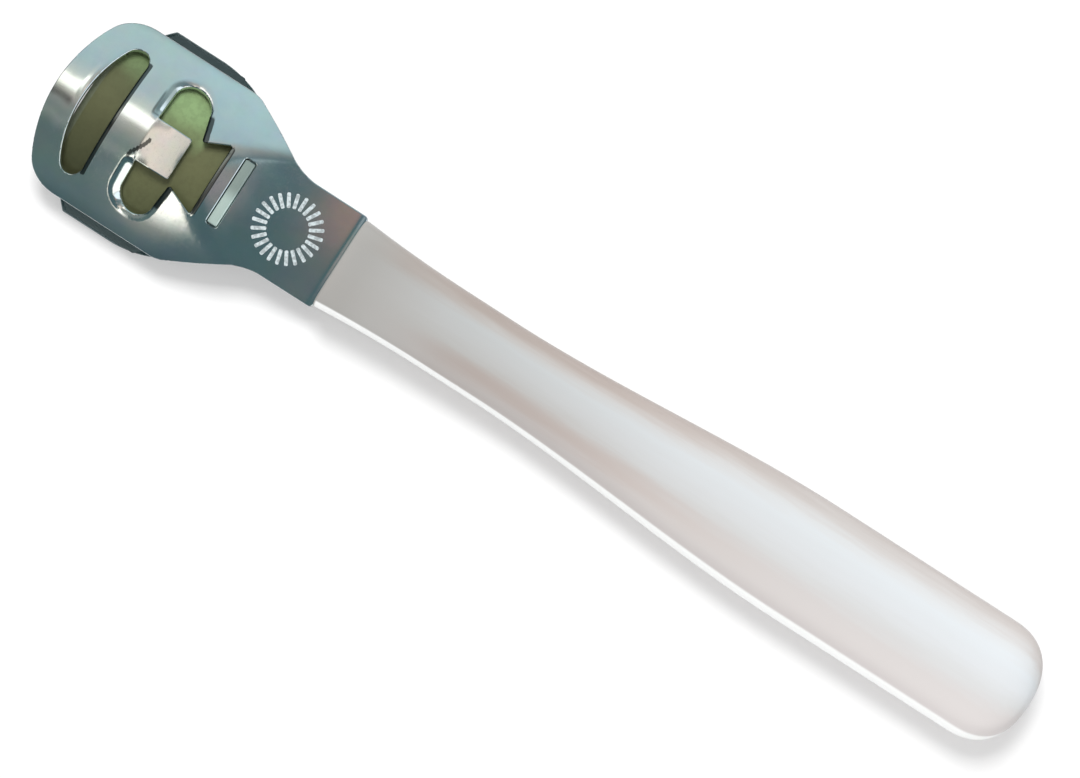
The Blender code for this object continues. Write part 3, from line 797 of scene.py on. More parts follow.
def make_blade_steel(looks):
    """Strip steel under a yellow-green lacquer, bare at the ends and along the honed edges; light and shade
    are painted on it.
    """
    nodes = new_material("tinted_blade_steel")
    place, (x, y, _) = nodes.coordinates()
    grain = nodes.noise(nodes.stretched(place, (6.0, 60.0, 6.0)), 500.0, 3.0, 0.6)
    cloud = nodes.noise(place, 320.0, 2.0, 0.5)
    bare_end = nodes.ease(y.math("ABSOLUTE", y), *BARE_END)
    from_edge = x.math("MINIMUM", x - BLADE_LOW.x, BLADE_HIGH.x - x)
    honed = nodes.ease(from_edge, HONED_WIDTH * 0.92, HONED_WIDTH * 1.05, 1.0, 0.0)
    under_mouth = nodes.ease(x, *UNDER_MOUTH, 1.0, 0.0)
    shift = 0.004 * (cloud - 0.5) - 0.0035 * under_mouth - 0.003 * nodes.ease(x, *UNDER_FAN)
    # Painted light: the lacquer turns from olive to a lighter green towards +Y, its edge shifted under the
    # mouth and the fan
    tint = nodes.mix(nodes.ease(y + shift, *LIT_GREEN_SIDE), rgba(looks.blade_olive), rgba(looks.blade_lit_green))
    speckle = nodes.ease(nodes.noise(place, 1100.0, 3.0, 0.65), 0.42, 0.62)
    tint = nodes.mix(0.3 * cloud + 0.14 * speckle, tint, rgba(looks.blade_olive, 0.5))
    # Painted shade: the lacquer darkens under the mouth, most towards -Y
    shade = under_mouth * nodes.ease(y, -0.008, 0.005, 0.6, 0.22)
    tint = nodes.mix(shade, tint, rgba(looks.blade_olive, 0.3))
    # Painted shade: the blade's bare ends darken towards +Y
    bare = nodes.mix(nodes.ease(y, -0.01, 0.01, 0.0, 0.7), rgba(looks.blade_bare), rgba(SHADED_BARE_STEEL))
    colour = nodes.mix(bare_end, tint, bare)
    colour = nodes.mix(0.1 * honed, colour, rgba(looks.blade_bare, 1.6))
    roughness = looks.blade_roughness + 0.1 * (grain - 0.5)
    normal = nodes.bump(grain, 0.12, SURFACE_GRAIN)
    metallic = 0.3 + 0.7 * bare_end
    return nodes.surface(Base_Color=colour, Metallic=metallic, Roughness=roughness, Normal=normal)


def make_base_steel(looks):
    """Plain rolled stainless sheet, with a fine grain and faint clouds, and a tint darkened as painted
    shade.
    """
    nodes = new_material("plain_base_steel")
    place, _ = nodes.coordinates()
    grain = nodes.noise(nodes.stretched(place, (4.0, 40.0, 10.0)), 500.0, 3.0, 0.6)
    cloud = nodes.noise(place, 300.0, 2.0, 0.5)
    # Painted shade: the base plate's tint is darker than the head's steel
    colour = nodes.mix(cloud, rgba(looks.base_shaded_tint, 0.9), rgba(looks.base_shaded_tint, 1.08))
    roughness = looks.base_roughness + 0.12 * (grain - 0.5)
    normal = nodes.bump(grain, 0.1, SURFACE_GRAIN)
    return nodes.surface(Base_Color=colour, Metallic=1.0, Roughness=roughness, Normal=normal)


def make_tab_steel(looks):
    """The upturned tab's top, with painted light that makes it brighter towards -Y and darker towards +Y.
    """
    nodes = new_material("painted_light_tab_steel")
    place, (_, y, _) = nodes.coordinates()
    grain = nodes.noise(nodes.stretched(place, (30.0, 4.0, 10.0)), 600.0, 3.0, 0.6)
    # Painted light and shade: a lit copy of the tint at -Y, a shaded copy at +Y
    lit = nodes.ease(y, -0.0014, 0.001, 0.9, 0.1) + 0.2 * (grain - 0.5)
    colour = nodes.mix(lit, rgba(looks.tab_tint, 0.66), rgba(looks.tab_tint, 1.4))
    normal = nodes.bump(grain, 0.15, SURFACE_GRAIN)
    return nodes.surface(Base_Color=colour, Metallic=0.55, Roughness=0.42 + 0.1 * grain, Normal=normal)


def make_mark_paint(looks):
    """Frosted pale marks, etched and slightly worn."""
    nodes = new_material("frosted_marks")
    place, _ = nodes.coordinates()
    wear = nodes.noise(place, 2200.0, 2.0, 0.6)
    colour = nodes.mix(nodes.ease(wear, 0.4, 0.62), rgba(looks.mark_colour), rgba(looks.mark_colour, 0.62))
    normal = nodes.bump(wear, 0.2, SURFACE_GRAIN / 2)
    return nodes.surface(Base_Color=colour, Metallic=0.15, Roughness=0.6, Normal=normal)


def make_pearl(looks):
    """Pearl-white plastic under a soft gloss, with silky streaks, and painted shade, sheen and highlight.
    """
    nodes = new_material("pearl_plastic")
    place, (x, _, z) = nodes.coordinates()
    across = nodes.attribute("across")
    back = (x - JOINT_X) / HANDLE_LENGTH
    silk = nodes.noise(nodes.stretched(place, (1.0, 12.0, 12.0)), 90.0, 4.0, 0.55, 0.4)
    flow = across + 0.25 * (silk - 0.5)
    tones = list(zip(looks.pearl_shaded_start, looks.pearl_end))
    # Painted shade: darker near the joint, lightening towards the round end
    whole = nodes.ramp(back, [(at, *(a + (b - a) * share for a, b in tones)) for at, share in PEARL_SHADE_FADE])
    # Painted sheen and shade: lighter and bluer along the crown, darker and pinker on the flanks
    painted_sheen = nodes.mix(1.0, whole, nodes.ramp(0.5 + 0.5 * flow, PEARL_SHEEN_BANDS), "MULTIPLY")
    banded = nodes.mix(nodes.ease(back, 0.05, 0.18, 0.15, 1.0), whole, painted_sheen)
    # Pink tint and painted shade on two bands along the flanks, fading towards the end
    low_band = nodes.band(flow, -0.74, -0.48, -0.4, -0.1) * nodes.ease(back, 0.1, 0.22)
    high_band = nodes.ease(flow, 0.4, 0.8) * nodes.ease(back, 0.01, 0.08)
    rosy_shade = (low_band + high_band) * nodes.ease(back, 0.32, 0.7, 1.0, 0.0)
    banded = nodes.mix(rosy_shade, banded, rgba(ROSY_SHADE_TINT), "MULTIPLY")
    # Painted highlight: a pale line along the upper part of the handle's -Y side only
    rim = nodes.ease(across, -0.9, -0.86, 1.0, 0.0) * nodes.ease(z, *PAINTED_RIM_HEIGHTS)
    rim = rim * nodes.ease(x, JOINT_X + 0.25 * FRONT_EDGE, JOINT_X + FRONT_EDGE)
    banded = nodes.mix(rim, banded, rgba(looks.pearl_rim_highlight))
    roughness = looks.pearl_roughness + 0.06 * (silk - 0.5)
    speck = nodes.noise(place, 900.0, 2.0, 0.5)
    normal = nodes.bump(0.7 * silk + 0.3 * speck, 0.05, 3 * SURFACE_GRAIN)
    return nodes.surface(
        Base_Color=banded, Metallic=0.0, Roughness=roughness, Normal=normal,
        Coat_Weight=0.35, Coat_Roughness=0.18, IOR=1.5,
    )


# ---- pieces ----

def make_head(looks):
    holes = [mouth_outline(), cutout_outline(), rear_slot_outline()]
    bent = LOBE_FRONT_X + 2 * TONGUE_BEND
    extra_x = evenly(LOBE_FRONT_X - LIP_SPREAD, bent, ROLL_STEP)
    extra_x += evenly(bent, LOBE_REAR_X + REAR_ROLL[0] + ROLL_STEP, 1.5 * ROLL_STEP)
    for edge in (MOUTH_SHOWN_REAR, FAN_REAR_X):
        extra_x += evenly(edge, edge + REAR_ROLL[0] + ROLL_STEP, ROLL_STEP)
    extra_y = evenly(LOBE_SPAN - UPPER_LOBE[2], LOBE_SPAN + SIDE_ROLL[0] + ROLL_STEP, 1.5 * ROLL_STEP)
    cuts = (extra_x, extra_y + [-y for y in extra_y])
    bm = make_blank(head_outline(), holes, HEAD_SHEET, FINE_STEP, HEAD_EDGE_ROUND, cuts)
    # How much shade is painted at each vertex
    dull = bm.verts.layers.float.new("dull")
    for v in bm.verts:
        v[dull] = painted_shade_share(v.co.x, v.co.y)
    bend(bm, form_head)
    return finish_piece(bm, "pressed_head", "holder", "head_steel", make_head_steel(looks), "head_plate")


def make_blade(looks):
    honed = (BLADE_LOW.x + HONED_WIDTH, BLADE_HIGH.x - HONED_WIDTH)
    bm = make_blank(blade_outline(), [], BLADE_SHEET, FINE_STEP, extra_cuts=(honed, ()))
    bend(bm, form_blade)
    return finish_piece(bm, "bent_blade", "blade", "blade_steel", make_blade_steel(looks), "blade")


def make_base(looks):
    bm = make_blank(base_outline(), [], BASE_SHEET, FINE_STEP, BASE_EDGE_ROUND)
    bend(bm, form_base)
    plate = finish_piece(bm, "backing_plate", "holder", "base_steel", make_base_steel(looks), "base_plate")
    bm = bmesh.new()
    bmesh.ops.create_cube(bm, size=1)
    top = plate_surface(TAB_X, 0) + TAB_PROUD
    bottom = base_surface(TAB_X, TAB_LENGTH / 2) - BASE_SHEET / 2
    bmesh.ops.scale(bm, vec=(TAB_SHOWN, TAB_LENGTH, top - bottom), verts=bm.verts)
    bmesh.ops.translate(bm, vec=(TAB_X, 0, (top + bottom) / 2), verts=bm.verts)
    bevel(bm, bm.edges[:], TAB_EDGE_ROUND, 4, clamp=True)
    tab = finish_piece(bm, "upturned_tab", "holder", "base_steel", make_tab_steel(looks))
    return plate, tab


def make_marks(looks):
    """A ring of plain, evenly spaced radial marks on the neck."""
    count = looks.mark_count
    length = MARK_OUTER_RADIUS - MARK_INNER_RADIUS
    bm = bmesh.new()
    bmesh.ops.create_cube(bm, size=1)
    bmesh.ops.scale(bm, vec=(length, looks.mark_width, 2 * MARK_HEIGHT), verts=bm.verts)
    upright = [e for e in bm.edges if rise(e) > MARK_HEIGHT]
    bevel(bm, upright, looks.mark_width * MARK_END_ROUND, 4, clamp=True)
    bmesh.ops.translate(bm, vec=((MARK_OUTER_RADIUS + MARK_INNER_RADIUS) / 2, 0, 0), verts=bm.verts)
    bmesh.ops.spin(
        bm, geom=bm.verts[:] + bm.edges[:] + bm.faces[:], cent=(0, 0, 0), axis=(0, 0, 1),
        angle=2 * math.pi * (count - 1) / count, steps=count - 1, use_duplicate=True,
    )
    middle = Vector((MARK_RING_X, 0, plate_surface(MARK_RING_X, 0)))
    slope = Matrix.Rotation(math.atan(NECK_SLOPE), 4, "Y")
    bmesh.ops.transform(bm, matrix=Matrix.Translation(middle) @ slope, verts=bm.verts)
    return finish_piece(bm, "neck_marks", "holder", "head_steel", make_mark_paint(looks))


def handle_section(distance):
    """Half width, half height, middle height and squareness of the handle behind the joint."""
    belly = smooth((distance - WAIST_END) / (BELLY_START - WAIST_END))
    flare = (1 - min(distance / FLARE_LENGTH, 1.0)) ** 2
    half = WAIST_HALF + (JOINT_HALF_WIDTH - WAIST_HALF) * flare + (BELLY_HALF - WAIST_HALF) * belly
    top = JOINT_TOP + (BELLY_TOP - JOINT_TOP) * belly
    bottom = JOINT_BOTTOM - (JOINT_BOTTOM + FLAT_CUT) * smooth(distance / WAIST_END)
    softening = smooth(distance / (2 * FLARE_LENGTH))
    squareness = FRONT_SQUARENESS + (REAR_SQUARENESS - FRONT_SQUARENESS) * softening
    into_end = max(0.0, distance - (HANDLE_LENGTH - END_ROUNDING)) / END_ROUNDING
    half *= (1 - into_end ** END_WIDTH_POWER) ** (1 / END_WIDTH_POWER)
    height = (top - bottom) / 2 * (1 - into_end ** END_HEIGHT_POWER) ** (1 / END_HEIGHT_POWER)
    into_front = max(0.0, FRONT_EDGE - distance)
    edge = FRONT_EDGE - math.sqrt(max(FRONT_EDGE ** 2 - into_front ** 2, 0.0))
    return half - edge, height - edge, (top + bottom) / 2, squareness


def squared(angle, squareness):
    """The point of a round section at an angle, pushed out towards the corners of a square."""
    parts = (math.cos(angle), math.sin(angle))
    return [math.copysign(abs(part) ** (2 / squareness), part) for part in parts]


def section_point(distance, k):
    half, height, middle, squareness = handle_section(distance)
    sideways, upwards = squared(2 * math.pi * (k + 0.5) / RING_POINTS, squareness)
    z = soft_max(middle + height * upwards, 0.0, FLAT_SOFTNESS)
    return Vector((JOINT_X + distance, half * sideways, z))


def handle_stations():
    """Distances behind the joint, closer together at the front edge and round the end."""
    body = HANDLE_LENGTH - END_ROUNDING
    front = [FRONT_EDGE * (1 - math.cos(math.pi / 2 * k / FRONT_STEPS)) for k in range(FRONT_STEPS)]
    middle = [FRONT_EDGE + (body - FRONT_EDGE) * k / BODY_STEPS for k in range(BODY_STEPS + 1)]
    rear = [body + END_ROUNDING * math.sin(math.pi / 2 * k / END_STEPS) for k in range(1, END_STEPS)]
    return front + middle + rear


def ring_edges(ring):
    inside = set(ring)
    return list({e for v in ring for e in v.link_edges if inside.issuperset(e.verts)})


def make_handle(looks):
    """A loft of rings along the handle, with a round end and a slot in front for the tang."""
    bm = bmesh.new()
    across = bm.verts.layers.float.new("across")
    rings = []
    for distance in handle_stations():
        ring = bmesh.ops.create_circle(bm, segments=RING_POINTS, radius=1)["verts"]
        half = handle_section(distance)[0]
        for k, v in enumerate(ring):
            v.co = section_point(distance, k)
            v[across] = v.co.y / max(half, BAND_HALF_WIDTH)
        rings.append(ring)
    for near, far in zip(rings, rings[1:]):
        bmesh.ops.bridge_loops(bm, edges=ring_edges(near) + ring_edges(far))
    end = bmesh.ops.extrude_edge_only(bm, edges=ring_edges(rings[-1]))
    end_verts = [v for v in end["geom"] if isinstance(v, bmesh.types.BMVert)]
    last = handle_section(handle_stations()[-1])
    bmesh.ops.pointmerge(bm, verts=end_verts, merge_co=(HANDLE_HIGH.x, 0, last[2]))
    front = bm.faces.new(rings[0])
    bmesh.ops.inset_individual(bm, faces=[front], thickness=FRONT_INSET, use_even_offset=True)
    slot_half = TANG_HALF_WIDTH + GAP
    slot_height = HEAD_SHEET / 2 + GAP
    slot_middle = TANG_TOP - HEAD_SHEET / 2
    for v in front.verts:
        angle = math.atan2((v.co.z - slot_middle) / slot_height, v.co.y / slot_half)
        sideways, upwards = squared(angle, SLOT_SQUARENESS)
        v.co.y = slot_half * sideways
        v.co.z = slot_middle + slot_height * upwards
    deep = bmesh.ops.extrude_face_region(bm, geom=[front])
    bmesh.ops.delete(bm, geom=[front], context="FACES")
    inner = [v for v in deep["geom"] if isinstance(v, bmesh.types.BMVert)]
    bmesh.ops.translate(bm, vec=(HEAD_HIGH.x - JOINT_X + GAP, 0, 0), verts=inner)
    return finish_piece(bm, "pearl_handle", "holder", "handle_plastic", make_pearl(looks), "handle")


# ---- the studio ----

# The camera, and how wide the view is at the height of the tool's middle
CAMERA_PLACE = (-0.00087, 0.0003, 0.35)
CAMERA_TURN = math.radians(32.74)
VIEW_WIDTH = 0.14852
VIEW_HEIGHT = 0.005
SENSOR_WIDTH = 36.0

# The floor, and how far from its middle it turns white to the camera
FLOOR_SIZE = 6.0
FLOOR_WHITENS = (0.13, 0.5)

# The lamps: where they stand and how wide they are
KEY_LAMP = ((-0.165, 0.26, 0.515), 0.22)
RIM_LAMP = ((0.16, -0.40, 0.02), 0.10)

# The tent, and the places along it where its tones change
TENT_RADIUS = 0.12
TENT_HALF_LENGTH = 1.5
TENT_STEPS = 48
FAR_FRONT = (-0.24, -0.18)
DARK_TIP = (-0.104, -0.097)
TIP_LEAN = (-0.101, -0.093)
HEAD_TO_REAR = (-0.0785, -0.0745)
REAR_LEAN = (-0.0765, -0.0695)
TONGUE_PANEL = (-0.074, -0.068, -0.054, -0.049)
SHARP_NECK = (-0.0665, -0.063)
SOFT_NECK = (-0.066, -0.026)
FAN_PANEL = (-0.040, -0.034, -0.0285, -0.0260)
JOINT_PANEL = (-0.019, -0.008)
NECK_TO_HANDLE = (0.004, 0.016)

# Tones round the tent, by angle in degrees. The table behind the fan has its angles times ten.
DARK_END = (0.03, 0.06, 0.06)
TIP_TONE = (0.08, 0.08, 0.07)
TONGUE_TONE = (1.16, 0.98, 0.84)
JOINT_TONE = (0.42, 0.28, 0.24)
FAR_TONE = (0.05, 0.08, 0.08)
OVER_HEAD = (
    (-90, *DARK_END),
    (-72, 0.08, 0.13, 0.14),
    (-60, 0.14, 0.2, 0.2),
    (-25, 0.15, 0.2, 0.19),
    (-17, 0.3, 0.33, 0.3),
    (-12, 0.24, 0.28, 0.26),
    (-4, 0.38, 0.38, 0.34),
    (4, 0.62, 0.58, 0.5),
    (6, 1.7, 1.6, 1.45),
    (13, 2.0, 1.9, 1.7),
    (16, 0.8, 0.8, 0.74),
    (27, 0.57, 0.69, 0.7),
    (66, 0.6, 0.77, 0.76),
    (72, 0.42, 0.54, 0.55),
    (78, *DARK_END),
)
OVER_REAR = (
    (-90, *DARK_END),
    (-72, 0.1, 0.15, 0.16),
    (-62, 0.16, 0.21, 0.21),
    (-51, 0.4, 0.39, 0.34),
    (-45, 1.0, 0.94, 0.82),
    (-37, 2.1, 1.95, 1.7),
    (-20, 2.4, 2.25, 1.95),
    (-14, 0.9, 0.85, 0.75),
    (-11, 0.12, 0.12, 0.11),
    (-2, 0.14, 0.13, 0.12),
    (2, 0.6, 0.54, 0.48),
    (10, 0.55, 0.52, 0.47),
    (20, 0.52, 0.66, 0.68),
    (66, 0.61, 0.81, 0.83),
    (72, 0.42, 0.54, 0.55),
    (78, *DARK_END),
)
OVER_NECK = (
    (-90, *DARK_END),
    (-60, 0.1, 0.155, 0.17),
    (-5, 0.09, 0.155, 0.165),
    (1, 0.1, 0.17, 0.18),
    (8, 0.14, 0.21, 0.23),
    (30, 0.24, 0.31, 0.32),
    (43, 0.42, 0.53, 0.54),
    (66, 0.56, 0.74, 0.76),
    (78, *DARK_END),
)
OVER_HANDLE = (
    (-90, 0.2, 0.2, 0.2),
    (-60, 0.5, 0.5, 0.5),
    (-45, 1.7, 1.7, 1.6),
    (-20, 1.7, 1.7, 1.6),
    (-10, 1.0, 1.0, 1.0),
    (-4, 1.3, 1.4, 1.5),
    (26, 1.3, 1.4, 1.5),
    (36, 0.6, 0.7, 0.7),
    (90, 0.3, 0.35, 0.35),
)
BEHIND_FAN = (
    (-30, 0.11, 0.17, 0.18),
    (-8, 0.42, 0.36, 0.34),
    (12, 0.46, 0.39, 0.37),
    (24, 0.26, 0.29, 0.28),
    (42, 0.43, 0.52, 0.53),
)


def make_floor(looks):
    """A pale floor that reads as white and keeps the tool's soft shadow."""
    nodes = new_material("white_floor")
    place, _ = nodes.coordinates()
    seen = nodes.add("ShaderNodeLightPath")
    matte = nodes.add("ShaderNodeBsdfDiffuse", values={"Color": rgba([looks.floor_tone] * 3)})
    away = nodes.add("ShaderNodeVectorMath", {"operation": "LENGTH"}, {0: place}, output=1)
    lift = nodes.ease(away, *FLOOR_WHITENS, looks.floor_lift, 1.0)
    glow = nodes.add("ShaderNodeEmission", values={"Color": (1, 1, 1, 1), "Strength": seen * lift})
    material = nodes.finish(nodes.add("ShaderNodeAddShader", values={0: matte, 1: glow}))
    bm = bmesh.new()
    bmesh.ops.create_grid(bm, x_segments=1, y_segments=1, size=FLOOR_SIZE / 2)
    add_object(bm, "floor", material)


def make_tent_panels():
    """Panels that glow in the tones which the steel and the handle reflect."""
    nodes = new_material("tent_panels")
    _, (x, y, z) = nodes.coordinates()
    angle = y.math("ARCTAN2", y, z) * (180 / math.pi)
    side = angle.math("ABSOLUTE", angle)
    over_head = nodes.panels(angle + nodes.ease(x, *TIP_LEAN, 4.5, 0.0), OVER_HEAD)
    over_rear = nodes.panels(angle - nodes.ease(x, *REAR_LEAN, 0.0, 7.0), OVER_REAR)
    tone = nodes.mix(nodes.ease(x + 0.0001 * side, *HEAD_TO_REAR), over_head, over_rear)
    sharp = nodes.ease(x - 0.00013 * angle, *SHARP_NECK)
    on_neck = sharp + nodes.ease(angle, 2.0, 10.0) * (nodes.ease(x, *SOFT_NECK) - sharp)
    tone = nodes.mix(on_neck, tone, nodes.panels(angle, OVER_NECK))
    at_tip = nodes.ease(x, *DARK_TIP, 0.8, 0.0) * nodes.band(angle, -11.0, -7.0, -5.0, -2.0)
    tone = nodes.mix(at_tip, tone, rgba(TIP_TONE))
    near_fan = nodes.band(x, *FAN_PANEL) * nodes.ease(side, 6.0, 9.0, 1.0, 0.0)
    tone = nodes.mix(near_fan, tone, nodes.panels(angle * 10, BEHIND_FAN))
    on_tongue = nodes.band(x, *TONGUE_PANEL) * nodes.ease(side, 7.0, 10.0, 1.0, 0.0)
    tone = nodes.mix(on_tongue, tone, rgba(TONGUE_TONE))
    near_joint = nodes.ease(x, *JOINT_PANEL) * nodes.ease(angle, -1.5, 3.5, 0.15, 1.0)
    tone = nodes.mix(near_joint * nodes.ease(side, 7.0, 12.0, 1.0, 0.0), tone, rgba(JOINT_TONE))
    tone = nodes.mix(nodes.ease(x, *NECK_TO_HANDLE), tone, nodes.panels(angle, OVER_HANDLE))
    tone = nodes.mix(nodes.ease(x, *FAR_FRONT, 1.0, 0.0), tone, rgba(FAR_TONE))
    return nodes.finish(nodes.add("ShaderNodeEmission", values={"Color": tone, "Strength": 1.0}))


def make_tent():
    """A half-round tent of toned panels over the tool. Only polished surfaces see it."""
    bm = bmesh.new()
    verts = [bm.verts.new((x, -TENT_RADIUS, 0)) for x in (-TENT_HALF_LENGTH, TENT_HALF_LENGTH)]
    edge = bm.edges.new(verts)
    bmesh.ops.spin(
        bm, geom=[*verts, edge], cent=(0, 0, 0), axis=(1, 0, 0), angle=-math.pi, steps=TENT_STEPS,
        use_merge=False,
    )
    tent = add_object(bm, "studio_tent", make_tent_panels())
    tent.visible_camera = False
    tent.visible_diffuse = False
    tent.visible_transmission = False
    tent.visible_shadow = False


def make_lamp(name, place, size, power):
    """A square soft white lamp aimed at the tool's middle."""
    light = bpy.data.lights.new(name, "AREA")
    light.shape = "SQUARE"
    light.size = size
    light.energy = power
    lamp = bpy.data.objects.new(name, light)
    lamp.location = place
    lamp.rotation_euler = (-Vector(place)).to_track_quat("-Z", "Y").to_euler()
    lamp.visible_glossy = False
    bpy.context.scene.collection.objects.link(lamp)


def make_world(looks):
    """White to the camera and in reflections, and a plain soft light on everything else."""
    world = bpy.data.worlds.new("studio_air")
    bpy.context.scene.world = world
    nodes = Nodes(world)
    rays = nodes.add("ShaderNodeLightPath").socket.node.outputs
    kinds = ("Is Camera Ray", "Is Glossy Ray", "Is Transmission Ray")
    camera, glossy, passing = (Wire(nodes, rays[kind]) for kind in kinds)
    seen = camera.math("MAXIMUM", camera.math("MAXIMUM", camera, glossy), passing)
    strength = seen * (1 - looks.air_light) + looks.air_light
    air = nodes.add("ShaderNodeBackground", values={"Color": (1, 1, 1, 1), "Strength": strength})
    nodes.add("ShaderNodeOutputWorld", values={"Surface": air})


def make_camera():
    """Straight above the tool, turned so that the head lies upper left."""
    data = bpy.data.cameras.new("camera")
    data.sensor_width = SENSOR_WIDTH
    data.lens = SENSOR_WIDTH * (CAMERA_PLACE[2] - VIEW_HEIGHT) / VIEW_WIDTH
    data.clip_start = 0.01
    data.clip_end = 20.0
    camera = bpy.data.objects.new("camera", data)
    camera.location = CAMERA_PLACE
    camera.rotation_euler = (0, 0, CAMERA_TURN)
    bpy.context.scene.collection.objects.link(camera)
    bpy.context.scene.camera = camera


# ---- settings, operators and panel ----

def colour_setting(name, description, default):
    return FloatVectorProperty(
        name=name, description=description, default=default, size=3, min=0.0, max=1.0, subtype="COLOR",
    )


def share_setting(name, description, default, low=0.0, high=1.0):
    return FloatProperty(
        name=name, description=description, default=default, min=low, max=high, subtype="FACTOR",
    )


def power_setting(name, description, default):
    return FloatProperty(
        name=name, description=description, default=default, min=0.0, max=20.0, unit="POWER",
    )


class CORNCUTTER_PG_steel(PropertyGroup):
    """The steel parts' colours and finishes."""

    head_tint: colour_setting("Head tint", "Colour of the polished head", (0.60, 0.66, 0.68))
    head_roughness: share_setting("Head roughness", "How blurred the head's reflections are", 0.11, 0.02)
    blade_olive: colour_setting("Blade olive", "Colour of the blade's lacquer", (0.15, 0.16, 0.075))
    # Painted light: the lacquer's lighter green towards +Y
    blade_lit_green: colour_setting("Blade green", "Colour of its lacquer towards +Y", (0.33, 0.48, 0.22))
    blade_bare: colour_setting("Bare blade", "Colour of the blade's bare ends", (0.20, 0.245, 0.25))
    blade_roughness: share_setting("Blade roughness", "How blurred the blade's reflections are", 0.40, 0.02)
    # Painted shade: the base plate's darkened tint
    base_shaded_tint: colour_setting("Base tint", "Colour of the base plate", (0.21, 0.27, 0.28))
    base_roughness: share_setting("Base roughness", "How blurred the base's reflections are", 0.18, 0.02)
    # Painted light and shade scale this tint on the tab
    tab_tint: colour_setting("Tab tint", "Colour of the rubbed tab in the rear slot", (0.42, 0.52, 0.49))
    mark_colour: colour_setting("Marks", "Colour of the frosted marks", (0.66, 0.74, 0.76))
    mark_width: FloatProperty(
        name="Mark width", description="Width of one radial mark", default=0.00052, min=0.0001, max=0.001,
        unit="LENGTH",
    )
    mark_count: IntProperty(
        name="Marks", description="How many marks the ring has", default=24, min=8, max=48,
    )


class CORNCUTTER_PG_handle(PropertyGroup):
    """The handle's colours and gloss."""

    # Painted shade: the pearl's darkened tone at the joint
    pearl_shaded_start: colour_setting("Pearl at the joint", "Colour beside the head", (0.375, 0.366, 0.35))
    pearl_end: colour_setting("Pearl at the end", "Colour at the round end", (0.765, 0.77, 0.78))
    # Painted highlight: the pale line along the handle's -Y side
    pearl_rim_highlight: colour_setting("Pearl rim", "Colour of the thin lower edge", (0.92, 0.93, 0.92))
    pearl_roughness: share_setting("Roughness", "How blurred the handle's gloss is", 0.36, 0.02)


class CORNCUTTER_PG_stage(PropertyGroup):
    """The floor and the light."""

    floor_tone: share_setting("Floor tone", "How pale the floor is", 0.72)
    floor_lift: share_setting("Floor lift", "What is added to the floor as the camera sees it", 0.285)
    air_light: share_setting("Air light", "Strength of the even light from all round", 0.5, high=2.0)
    key_power: power_setting("Key lamp", "Power of the main soft lamp", 2.75)
    rim_power: power_setting("Rim lamp", "Power of the low lamp beside the handle", 1.25)


class CORNCUTTER_OT_head(Operator):
    """Build the pressed head, neck and tang"""

    bl_idname = "corncutter.head"
    bl_label = "Pressed Head"

    def execute(self, context):
        make_head(context.scene.corncutter_steel)
        return {"FINISHED"}


class CORNCUTTER_OT_blade(Operator):
    """Build the bent double-edged blade"""

    bl_idname = "corncutter.blade"
    bl_label = "Bent Blade"

    def execute(self, context):
        make_blade(context.scene.corncutter_steel)
        return {"FINISHED"}


class CORNCUTTER_OT_base(Operator):
    """Build the backing plate and its upturned tab"""

    bl_idname = "corncutter.base"
    bl_label = "Backing Plate"

    def execute(self, context):
        make_base(context.scene.corncutter_steel)
        return {"FINISHED"}


class CORNCUTTER_OT_marks(Operator):
    """Build the ring of plain marks on the neck"""

    bl_idname = "corncutter.marks"
    bl_label = "Neck Marks"

    def execute(self, context):
        make_marks(context.scene.corncutter_steel)
        return {"FINISHED"}


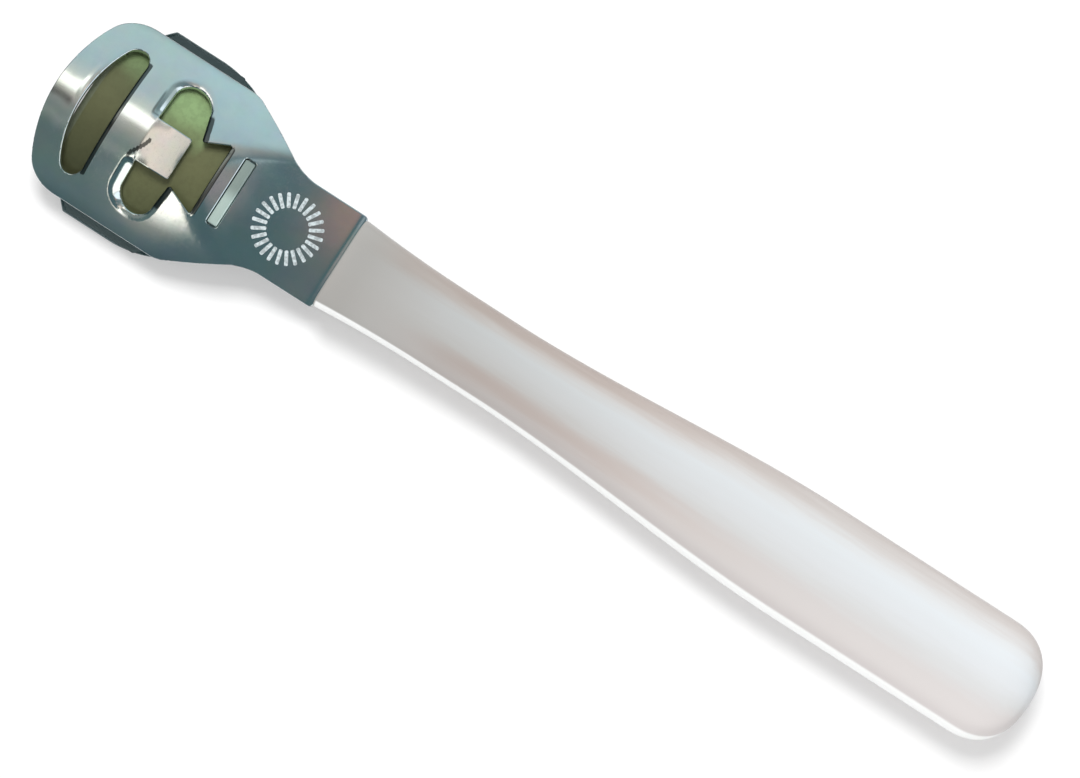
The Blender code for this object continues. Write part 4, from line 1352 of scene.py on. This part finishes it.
class CORNCUTTER_OT_handle(Operator):
    """Build the pearl handle"""

    bl_idname = "corncutter.handle"
    bl_label = "Pearl Handle"

    def execute(self, context):
        make_handle(context.scene.corncutter_handle)
        return {"FINISHED"}


class CORNCUTTER_OT_stage(Operator):
    """Build the floor, the tent, the lamps and the camera"""

    bl_idname = "corncutter.stage"
    bl_label = "Stage"

    def execute(self, context):
        looks = context.scene.corncutter_stage
        make_floor(looks)
        make_tent()
        make_world(looks)
        make_lamp("key_lamp", *KEY_LAMP, looks.key_power)
        make_lamp("rim_lamp", *RIM_LAMP, looks.rim_power)
        make_camera()
        context.scene.view_settings.view_transform = "Standard"
        return {"FINISHED"}


class CORNCUTTER_PT_panel(Panel):
    """The corn cutter's pieces in the 3D view's sidebar"""

    bl_idname = "CORNCUTTER_PT_panel"
    bl_label = "Corn Cutter"
    bl_space_type = "VIEW_3D"
    bl_region_type = "UI"
    bl_category = "Corn Cutter"

    def draw(self, context):
        column = self.layout.column()
        for operator in OPERATORS:
            column.operator(operator.bl_idname)
        for place, settings in SETTINGS.items():
            box = column.box()
            for name in settings.__annotations__:
                box.prop(getattr(context.scene, place), name)


OPERATORS = (
    CORNCUTTER_OT_head,
    CORNCUTTER_OT_blade,
    CORNCUTTER_OT_base,
    CORNCUTTER_OT_marks,
    CORNCUTTER_OT_handle,
    CORNCUTTER_OT_stage,
)
SETTINGS = {
    "corncutter_steel": CORNCUTTER_PG_steel,
    "corncutter_handle": CORNCUTTER_PG_handle,
    "corncutter_stage": CORNCUTTER_PG_stage,
}
CLASSES = (*SETTINGS.values(), *OPERATORS, CORNCUTTER_PT_panel)


def register():
    for cls in CLASSES:
        bpy.utils.register_class(cls)
    for place, settings in SETTINGS.items():
        setattr(bpy.types.Scene, place, PointerProperty(type=settings))


def unregister():
    for place in SETTINGS:
        delattr(bpy.types.Scene, place)
    for cls in reversed(CLASSES):
        bpy.utils.unregister_class(cls)


def main():
    register()
    bpy.ops.corncutter.stage()
    bpy.ops.corncutter.head()
    bpy.ops.corncutter.blade()
    bpy.ops.corncutter.base()
    bpy.ops.corncutter.marks()
    bpy.ops.corncutter.handle()


if __name__ == "__main__":
    main()
